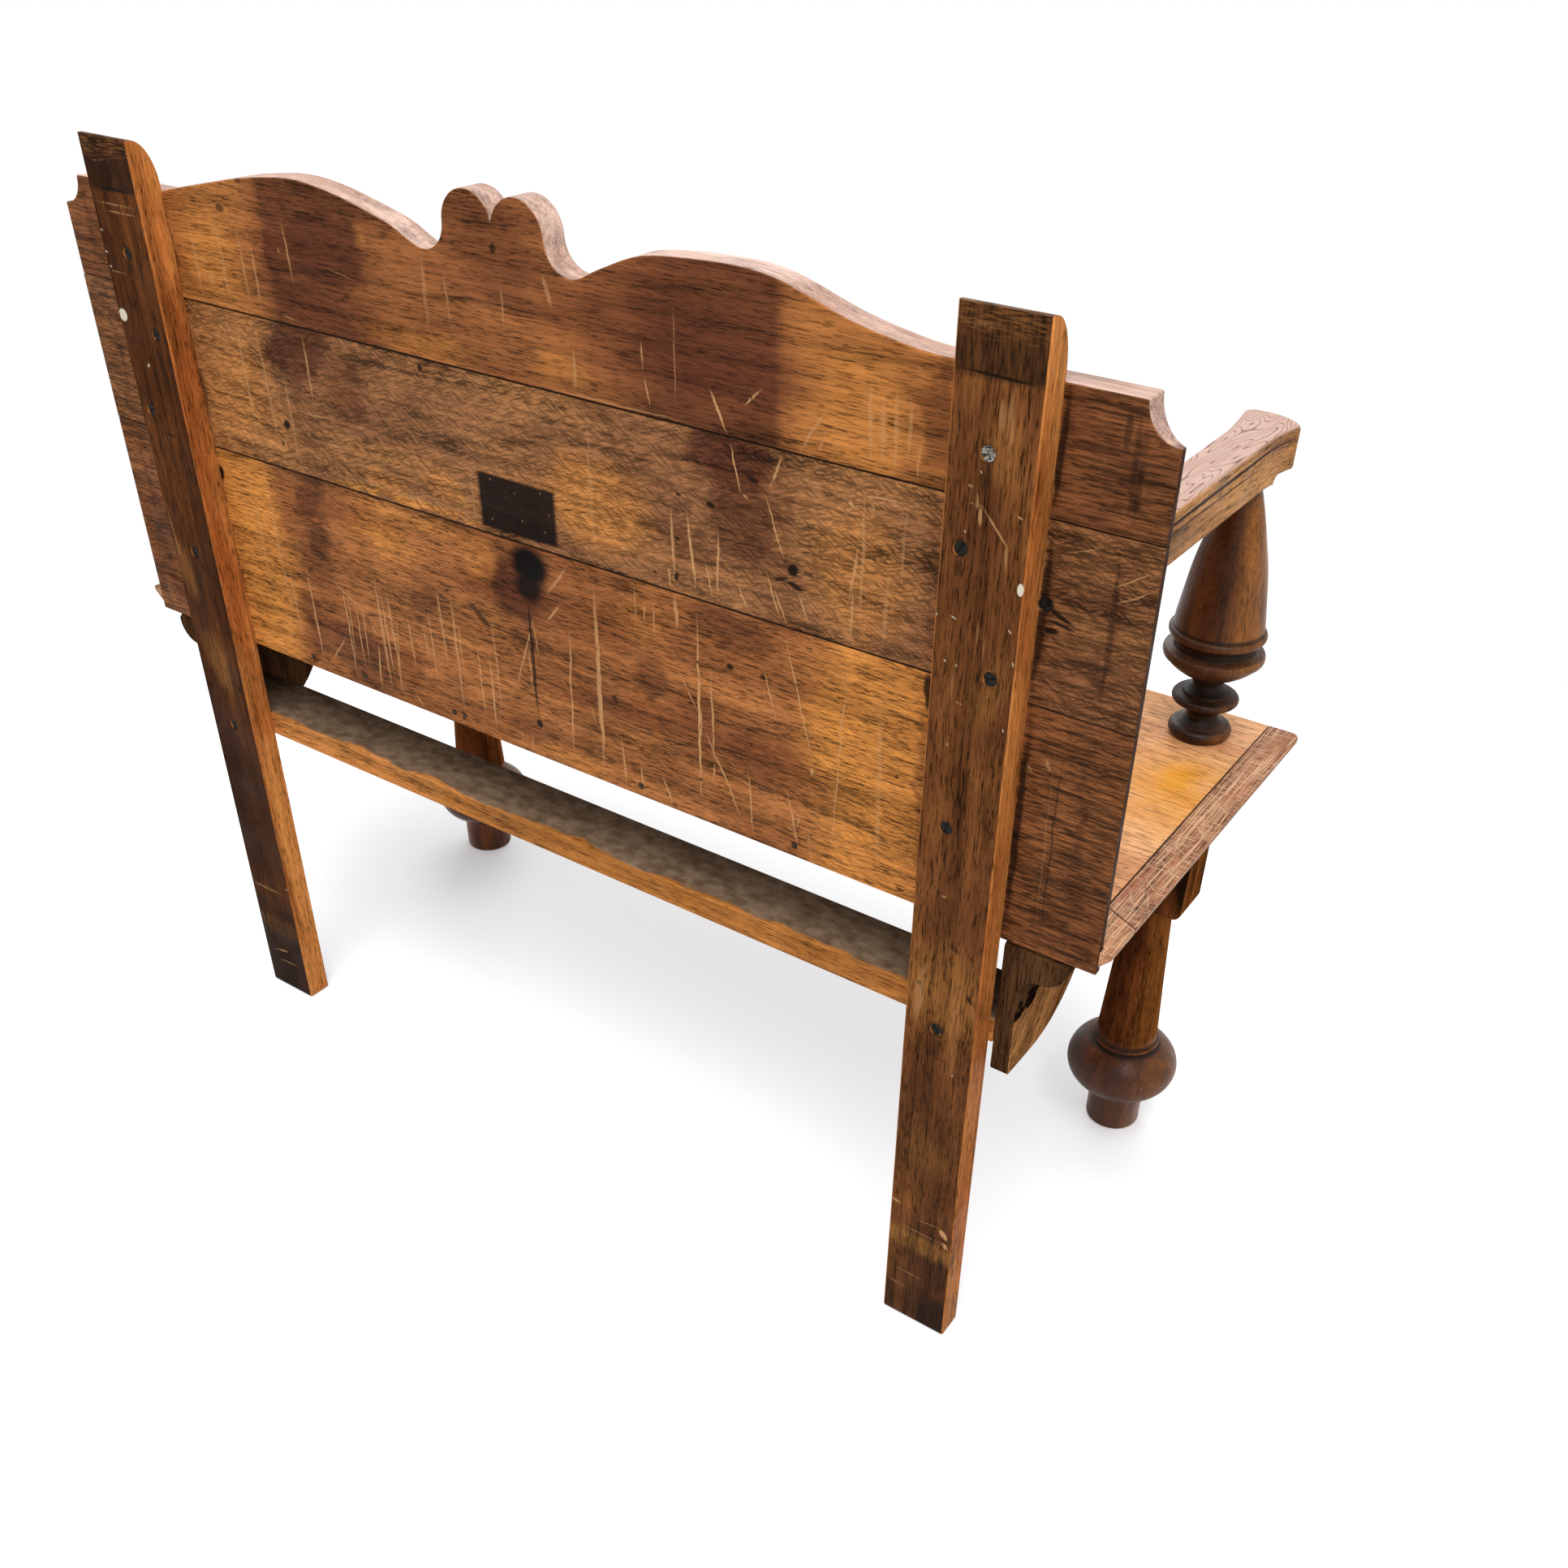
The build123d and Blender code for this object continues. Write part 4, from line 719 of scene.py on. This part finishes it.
def skin(name, slot, material, node, *grids):
    """One mesh from closed tubes of points: neighbours are joined by four-sided faces, and each end
    is closed by one face. It stands for a made piece."""
    points, faces = [], []
    for grid in grids:
        rows, sides, _ = grid.shape
        start = sum(len(part) for part in points)
        row, side = np.meshgrid(np.arange(rows - 1), np.arange(sides), indexing="ij")
        after = (side + 1) % sides
        quads = np.stack([row * sides + side, row * sides + after, (row + 1) * sides + after,
                          (row + 1) * sides + side], axis=2) + start
        faces += quads.reshape(-1, 4).tolist()
        faces.append((start + np.arange(sides)[::-1]).tolist())
        faces.append((start + (rows - 1) * sides + np.arange(sides)).tolist())
        points.append(grid.reshape(-1, 3))
    mesh = bpy.data.meshes.new(name)
    mesh.from_pydata(np.concatenate(points).tolist(), [], faces)
    mesh.polygons.foreach_set("use_smooth", np.ones(len(mesh.polygons), bool))
    mesh.set_sharp_from_angle(angle=0.7)
    mesh.materials.append(material)
    piece = bpy.data.objects.new(name, mesh)
    bpy.context.collection.objects.link(piece)
    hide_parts(node)
    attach(piece, "root")


def squared(half_x, half_y, levels, middle, power=11, sides=96):
    """A square head's skin: |x/a|^n + |y/b|^n = 1 in plan, so its corners are softly eased. Each
    level is a height in mm and an inset in mm."""
    angle = np.linspace(0, 2 * np.pi, sides, endpoint=False)[None, :]
    height, inset = np.asarray(levels, float).T[:, :, None] / 1000
    across = np.sign(np.cos(angle)) * np.abs(np.cos(angle)) ** (2 / power) * (half_x / 1000 - inset)
    along = np.sign(np.sin(angle)) * np.abs(np.sin(angle)) ** (2 / power) * (half_y / 1000 - inset)
    return np.stack([middle[0] + across, middle[1] + along, np.broadcast_to(height, across.shape)], axis=2)


def turned_oak(name, tones, seed, hollows, cracks_and_shade=(), worn=0.0, shine=(0.2, 0.2)):
    """Turned oak: upright grain, dark polish in the hollows at given heights, and drying cracks, whose rows
    also paint shade where given. Where it is worn, the side towards -X is rubbed orange with painted light
    and the rest is darker, with painted shade. The first sheen holds above a leg's ball and the second one
    from the ball down."""
    material, place = wood(name)
    tree = material.node_tree
    # On worn pieces the -X side is rubbed wear plus painted light, and the other sides are darker wood plus
    # painted shade.
    rubbed = add(tree, "Math", {0: facing(tree, 0, -0.35, -0.8), 1: worn}, operation="MULTIPLY")
    deep = add(tree, "Math", {0: facing(tree, 0, -0.3, 0.6), 1: worn}, operation="MULTIPLY")
    colour, height = oak(tree, place, 2, tones, ring=8.0, pore=0.9, seed=seed,
                         zones=((rubbed, TURNED_RUBBED_AND_LIT), (deep, TURNED_DARK_AND_SHADED)))
    z = add(tree, "SeparateXYZ", {"Vector": place}, out=2)
    for low, high, strength in hollows:
        centre, half = (low + high) / 2000, (high - low) / 2000
        off = add(tree, "Math", {0: z, 1: centre}, operation="SUBTRACT")
        off = add(tree, "Math", {0: off}, operation="ABSOLUTE")
        share = add(tree, "MapRange", {0: off, 1: half, 2: half * 0.4, 4: strength},
                    interpolation_type="SMOOTHSTEP")
        colour = add(tree, "Mix", {0: share, 6: colour, 7: HOLLOW}, 2, data_type="RGBA")
    for plane, level, rows in cracks_and_shade:
        # Crack rows darken and sink the wood. On a leg's head they also paint shade over its rear face.
        crack_and_shade_share = marks(tree, place, rows, plane=plane, level=level, soft=0.4, reach=0.03)
        colour = add(tree, "Mix", {0: crack_and_shade_share, 6: colour, 7: CRACK_AND_SHADE}, 2, data_type="RGBA")
        height = add(tree, "Math", {0: crack_and_shade_share, 1: -2.0, 2: height}, operation="MULTIPLY_ADD")
    glossy = add(tree, "MapRange", {0: z, 1: 0.125, 2: 0.105, 3: shine[0], 4: shine[1]})
    return polish(material, colour, height, place, rough=(0.3, 0.55), shine=glossy)


# The ball is 114 mm across and 74 mm high, around a height of 78.4 mm. It ends where it meets the
# foot below and the ring above.
ball = bead(0, 57, 78.4 - 37, 78.4 + 37, 49)
ball = ball[(ball[:, 0] > 28.6) & ~((ball[:, 1] > 78.4) & (ball[:, 0] < 33.2))]
leg_profile = np.concatenate([
    [(20, 0), (25.5, 0.2), (27.4, 1.4), (28, 3.4), (28, 40), (28.2, 45.5)],
    ball,
    [(32.4, 108.6), (32.0, 109.4)],
    bead(31.8, 2.2, 109.6, 114.2, 9),
    [(31.6, 114.6), (31.0, 115.6), (29.6, 140), (27.9, 170), (26.2, 200), (24.4, 235), (22.6, 270),
     (21.5, 292), (10, 292)],
])
head_levels = ((292, 24), (292, 1.6), (292.4, 0.6), (293.6, 0), (330, 0), (400, 0), (445.4, 0), (446, 0.6),
               (446, 24))
leg_hollows = ((40, 52, 0.5), (106, 110.5, 0.85), (113, 118, 0.7), (44, 110, 0.4))
# The head is split along its outer face, and its rear face is painted black as painted shade.
head_splits = ((-122, 470, -124, 270, 8.0, 0.95), (-144, 446, -150, 292, 2.2, 0.85),
               (-170, 400, -166, 293, 1.6, 0.7))
for side, name in ((1, "left"), (-1, "right")):
    middle = (side * LEG_MIDDLE[0], LEG_MIDDLE[1])
    middle_x = middle[0] * 1000
    # The whole rear face of the head is painted dark: painted shade.
    behind = ((middle_x - 38, 400, middle_x + 38, 400, 130, 0.75),)
    cracks_and_shade = ((0, middle[0] - side * HEAD_HALF_WIDTHS[0] / 1000, head_splits),
              (1, middle[1] + HEAD_HALF_WIDTHS[1] / 1000, behind))
    # The left leg gets rubbed wear with painted light on its -X side and painted shade on its other sides.
    leg_wood = turned_oak("turned_leg_oak_" + name, LEG_TONES, 51.0 + side, leg_hollows, cracks_and_shade,
                          worn=0.35 if side == 1 else 0.0, shine=(0.0, 0.22))
    skin("front_leg_" + name + "_turned", "turned_oak", leg_wood, "front_leg_" + name,
         turn(leg_profile, middle), squared(*HEAD_HALF_WIDTHS, head_levels, middle))


# Arms: level oak bars, butted against the back and held there by one screw each. They widen to a
# scooped nose in front. Their tops have weathered to a greyish pink with open flame figure, and a
# thin line is scratched along each outer side.
ARM_TONES = ("#A06C40", "#CC935C")
ARM_GREY = "#C2A091"
ARM_FLAME = "#5E3E32"
ARM_LINE = "#3A2114"
ARM_SIDE = 0.490
ARM_LINE_ROWS = ((-230, 737, 200, 735, 1.8, 1.0), (-150, 727, 120, 730, 1.2, 0.8))


def arm_oak():
    """Brown oak on the sides, weathered pinkish grey on top, with contour-like flame figure."""
    material, place = wood("weathered_arm_oak")
    tree = material.node_tree
    colour, height = oak(tree, place, 1, ARM_TONES, ring=5.0, seed=61.0)
    flame = grain(tree, place, 1, 190, 30, 0.0, 1.0, twist=0.2, detail=2.0, seed=63.0)
    flame = add(tree, "Math", {0: flame, 1: 36.0}, operation="MULTIPLY")
    flame = add(tree, "Math", {0: flame, 1: 1.0}, operation="PINGPONG")
    flame = add(tree, "MapRange", {0: flame, 1: 0.3, 2: 0.0, 4: 0.8}, interpolation_type="SMOOTHSTEP")
    grey = add(tree, "Mix", {0: flame, 6: ARM_GREY, 7: ARM_FLAME}, 2, data_type="RGBA")
    left, right = (marks(tree, place, ARM_LINE_ROWS, plane=0, level=level, soft=0.3, reach=0.03)
                   for level in (-ARM_SIDE, ARM_SIDE))
    line = add(tree, "Math", {0: left, 1: right}, operation="MAXIMUM")
    for share, tone in ((facing(tree, 2, 0.4, 0.85), grey), (line, ARM_LINE)):
        colour = add(tree, "Mix", {0: share, 6: colour, 7: tone}, 2, data_type="RGBA")
    height = add(tree, "Math", {0: flame, 1: -0.9, 2: height}, operation="MULTIPLY_ADD")
    height = add(tree, "Math", {0: line, 1: -2.0, 2: height}, operation="MULTIPLY_ADD")
    return polish(material, colour, height, place, rough=(0.45, 0.65), shine=0.07)


arm_wood = arm_oak()
eased("arm_left", 0.0022, arm_wood)
eased("arm_right", 0.0022, arm_wood)


# Arm supports: turned oak, tenoned into the seat below and the arm above. From the seat up they
# have a base bead, cracked behind, a disc, a cup with a thick rim, a collar and a tapering body.
SUPPORT_MIDDLE = (-0.4695, -0.1648)
BASE_RADIUS = 0.0283
LEFT_SUPPORT_TONES = ("#3A1D0D", "#6E3F1B")
support_profile = np.concatenate([
    [(9, -16), (9, 0), (22, 0)], bead(22.3, 6.0, 0.2, 12.0),
    [(21.6, 12.6), (18.6, 14.2), (15.6, 17.2), (14.0, 20.6), (14.2, 24), (16.0, 28), (19.6, 31)],
    [(24.6, 32.6)], bead(25.3, 4.5, 32.9, 41.2),
    [(22.6, 41.8), (21.4, 42.2), (21.2, 44.4), (20.4, 45.0), (17.6, 45.8)],
    [(15.2, 48), (13.8, 51), (14.2, 54), (16.6, 57.6), (21.6, 61), (28, 64.4), (34, 68.6), (38.6, 72.6)],
    [(41.4, 75.9), (41.6, 76.6)], bead(42.2, 2.4, 76.8, 85.4),
    [(40.6, 85.8), (37.6, 86.2), (36.2, 87.4), (35.8, 91), (36.4, 95.4), (38.0, 97.0), (39.4, 97.5)],
    bead(39.5, 3.1, 97.6, 105.4), [(39.5, 105.8), (39.4, 106.6), (38.0, 118), (36.0, 132), (33.9, 146)],
    [(31.7, 160), (29.4, 171), (26.6, 182.5), (23.6, 195), (20.2, 208), (16.4, 222), (12.6, 234.6)],
    [(9, 235), (9, 251)],
]) + (0, SEAT_TOP * 1000)
support_hollows = ((479, 501, 0.85), (508, 528, 0.9), (553, 566.5, 0.95), (452, 566, 0.6), (573, 577, 0.75),
                   (566, 576, 0.4))
for side, name, tones in ((1, "left", LEFT_SUPPORT_TONES), (-1, "right", LEG_TONES)):
    middle = (side * SUPPORT_MIDDLE[0], SUPPORT_MIDDLE[1])
    middle_x = middle[0] * 1000
    cracks_and_shade = ((1, middle[1] + BASE_RADIUS, ((middle_x - 3, 468, middle_x - 1, 480, 1.2, 0.9),)),)
    # The left support gets rubbed wear with painted light on its -X side and painted shade on its other
    # sides.
    support_wood = turned_oak("turned_support_oak_" + name, tones, 71.0 + side, support_hollows, cracks_and_shade,
                              worn=0.6 if side == 1 else 0.0)
    skin("arm_support_" + name + "_turned", "turned_oak", support_wood, "arm_support_" + name,
         turn(support_profile, middle))


# Screws and nails: old slotted steel screws, sunk just below the wood, dark with rust and painted near
# black as painted shade of their deep holes, and cut iron nails driven flush. The slot is cut across each
# head.
SCREW_RUST_AND_SHADE_TONES = ("#0B0A09", "#26211C")
NAIL_TONES = ("#15110E", "#3C352E")
BRIGHT_STEEL = "#B5AFA5"
RUBBED_SCREW = ((-429, 822, -417, 822, 6, 1.0),)


def iron(name, tones, rubbed=()):
    """Rusted iron: dark scale with patches where the bare metal shows, and heads rubbed bright."""
    material, place = wood(name)
    tree = material.node_tree
    scale = add(tree, "TexNoise", {"Vector": place, "Scale": 600.0, "Detail": 4.0})
    patch = add(tree, "MapRange", {0: scale, 1: 0.4, 2: 0.6})
    colour = add(tree, "Mix", {0: patch, 6: tones[0], 7: tones[1]}, 2, data_type="RGBA")
    bright = add(tree, "Math", {0: marks(tree, place, rubbed, soft=0.2), 1: patch}, operation="MULTIPLY")
    colour = add(tree, "Mix", {0: bright, 6: colour, 7: BRIGHT_STEEL}, 2, data_type="RGBA")
    bump = add(tree, "Bump", {"Height": scale, "Strength": 0.4, "Distance": 0.0004})
    surface = add(tree, "BsdfPrincipled", {"Base Color": colour, "Metallic": 0.25, "Roughness": 0.6,
                                           "Specular IOR Level": 0.2, "Normal": bump})
    add(tree, "OutputMaterial", {"Surface": surface})
    return material


def screw_heads(name, node, places, slot_turns, material):
    """Slotted heads: a disc of radius 5.3 mm on a polar grid, hollowed by 1 mm where the distance
    from the slot's line is under 0.8 mm, with a short cone below it."""
    radius = np.array([0.0001, 1.2, 2.4, 3.4, 4.2, 4.8, 5.2, 5.3, 4.2, 2.7])[:, None]
    drop = np.array([0.0, 0.0, 0.0, 0.0, 0.0, 0.03, 0.12, 0.4, 1.6, 3.0])[:, None]
    angle = np.linspace(0, 2 * np.pi, 64, endpoint=False)[None, :]
    across, along = radius * np.cos(angle), radius * np.sin(angle)
    top = np.arange(10)[:, None] < 8
    depth = np.where((np.abs(across) < 0.8) & top, drop + 1.0, drop)
    grids = []
    for (x, y, z), turned in zip(places, slot_turns):
        cos, sin = np.cos(turned), np.sin(turned)
        round_x = x + (across * cos - along * sin) / 1000
        round_z = z + (across * sin + along * cos) / 1000
        grids.append(np.stack([round_x, y - depth / 1000, round_z], axis=2)[::-1])
    skin(name, "screw_steel", material, node, *grids)


screw_iron = iron("rusty_shaded_screw_steel", SCREW_RUST_AND_SHADE_TONES, RUBBED_SCREW)
post_places = [
    (x, 0.2150, z) for x, z in (
        (-0.4228, 0.82198), (-0.40904, 0.75651), (-0.43944, 0.67106), (-0.41608, 0.54306),
        (-0.42312, 0.354), (0.42504, 0.81804), (0.41, 0.752), (0.44328, 0.67903), (0.42568, 0.54346),
        (0.42504, 0.354))
]
screw_heads("post_screw_heads", "post_screws", post_places,
            (0.9, 0.5, 1.2, 0.2, 2.4, 2.2, 0.8, 1.3, 2.7, 0.4), screw_iron)
screw_heads("arm_screw_heads", "arm_screws", ((-0.4622, 0.1900, 0.7225), (0.4622, 0.1900, 0.7225)),
            (0.6, 1.9), screw_iron)
nail_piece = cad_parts["panel_nails"]
nail_piece.data.materials.clear()
nail_piece.data.materials.append(iron("cut_nail_iron", NAIL_TONES))


# Studio: a pale floor that keeps the object's soft shadow, an even pale world and two large soft
# lamps. The camera stands where the photograph was taken, behind, above and to the left.
def background_rays(tree):
    """1 for the rays that see a plain white setting: camera, glossy and transmission rays."""
    rays = tree.nodes.new("ShaderNodeLightPath").outputs
    seen = add(tree, "Math", {0: rays["Is Camera Ray"], 1: rays["Is Glossy Ray"]}, operation="MAXIMUM")
    return add(tree, "Math", {0: seen, 1: rays["Is Transmission Ray"]}, operation="MAXIMUM")


floor_mesh = bpy.data.meshes.new("floor")
floor_mesh.from_pydata([(-12, -12, 0), (12, -12, 0), (12, 12, 0), (-12, 12, 0)], [], [(0, 1, 2, 3)])
floor = bpy.data.objects.new("floor", floor_mesh)
bpy.context.collection.objects.link(floor)
floor_paint = bpy.data.materials.new("pale_floor")
floor_paint.use_nodes = True
tree = floor_paint.node_tree
tree.nodes.clear()
matt = add(tree, "BsdfDiffuse", {"Color": shade("#E6E4E1")})
white = add(tree, "BsdfDiffuse", {"Color": (1.0, 1.0, 1.0, 1.0)})
glow = add(tree, "Emission", {"Color": (1.0, 1.0, 1.0, 1.0), "Strength": 0.26})
lifted = add(tree, "AddShader", {0: white, 1: glow})
# From 0.9 to 1.7 m away, the floor seen by the camera runs out into plain white.
here = add(tree, "TexCoord", {}, "Object")
away = add(tree, "VectorMath", {0: here}, 1, operation="LENGTH")
away = add(tree, "MapRange", {0: away, 1: 0.9, 2: 1.7}, interpolation_type="SMOOTHSTEP")
plain = add(tree, "Emission", {"Color": (1.0, 1.0, 1.0, 1.0), "Strength": 1.0})
lifted = add(tree, "MixShader", {0: away, 1: lifted, 2: plain})
mixed = add(tree, "MixShader", {0: background_rays(tree), 1: matt, 2: lifted})
add(tree, "OutputMaterial", {"Surface": mixed})
floor_mesh.materials.append(floor_paint)

world = bpy.data.worlds.new("studio")
bpy.context.scene.world = world
world.use_nodes = True
tree = world.node_tree
tree.nodes.clear()
soft = add(tree, "Background", {"Color": shade("#F4F6FA"), "Strength": 0.59})
bright = add(tree, "Background", {"Color": (1.0, 1.0, 1.0, 1.0), "Strength": 1.0})
mixed = add(tree, "MixShader", {0: background_rays(tree), 1: soft, 2: bright})
add(tree, "OutputWorld", {"Surface": mixed})

for name, place, size, power in (
    ("sky_lamp", (-0.9, 1.2, 3.4), 2.6, 97.0), ("front_lamp", (1.4, -2.6, 2.4), 2.4, 40.0),
):
    lamp = bpy.data.lights.new(name, "AREA")
    lamp.energy, lamp.size = power, size
    stand = bpy.data.objects.new(name, lamp)
    stand.location = place
    stand.rotation_euler = (Vector((0.0, 0.0, 0.45)) - stand.location).to_track_quat("-Z", "Y").to_euler()
    bpy.context.collection.objects.link(stand)

# The camera's lens, shift, directions and place were solved from the photograph.
camera_data = bpy.data.cameras.new("camera")
camera_data.sensor_width = 36.0
camera_data.lens = 35.03
camera_data.shift_x = -0.01690
camera_data.shift_y = 0.07803
camera_data.clip_end = 50.0
camera = bpy.data.objects.new("camera", camera_data)
bpy.context.collection.objects.link(camera)
right = (-0.829245, -0.558480, 0.021270)
up = (0.341232, -0.475796, 0.810665)
back = (-0.442620, 0.679499, 0.585123)
eye = (-0.846596, 1.054564, 1.146352)
camera.matrix_world = Matrix([[right[i], up[i], back[i], eye[i]] for i in range(3)] + [[0, 0, 0, 1]])
bpy.context.scene.camera = camera
bpy.context.scene.view_settings.view_transform = "Standard"
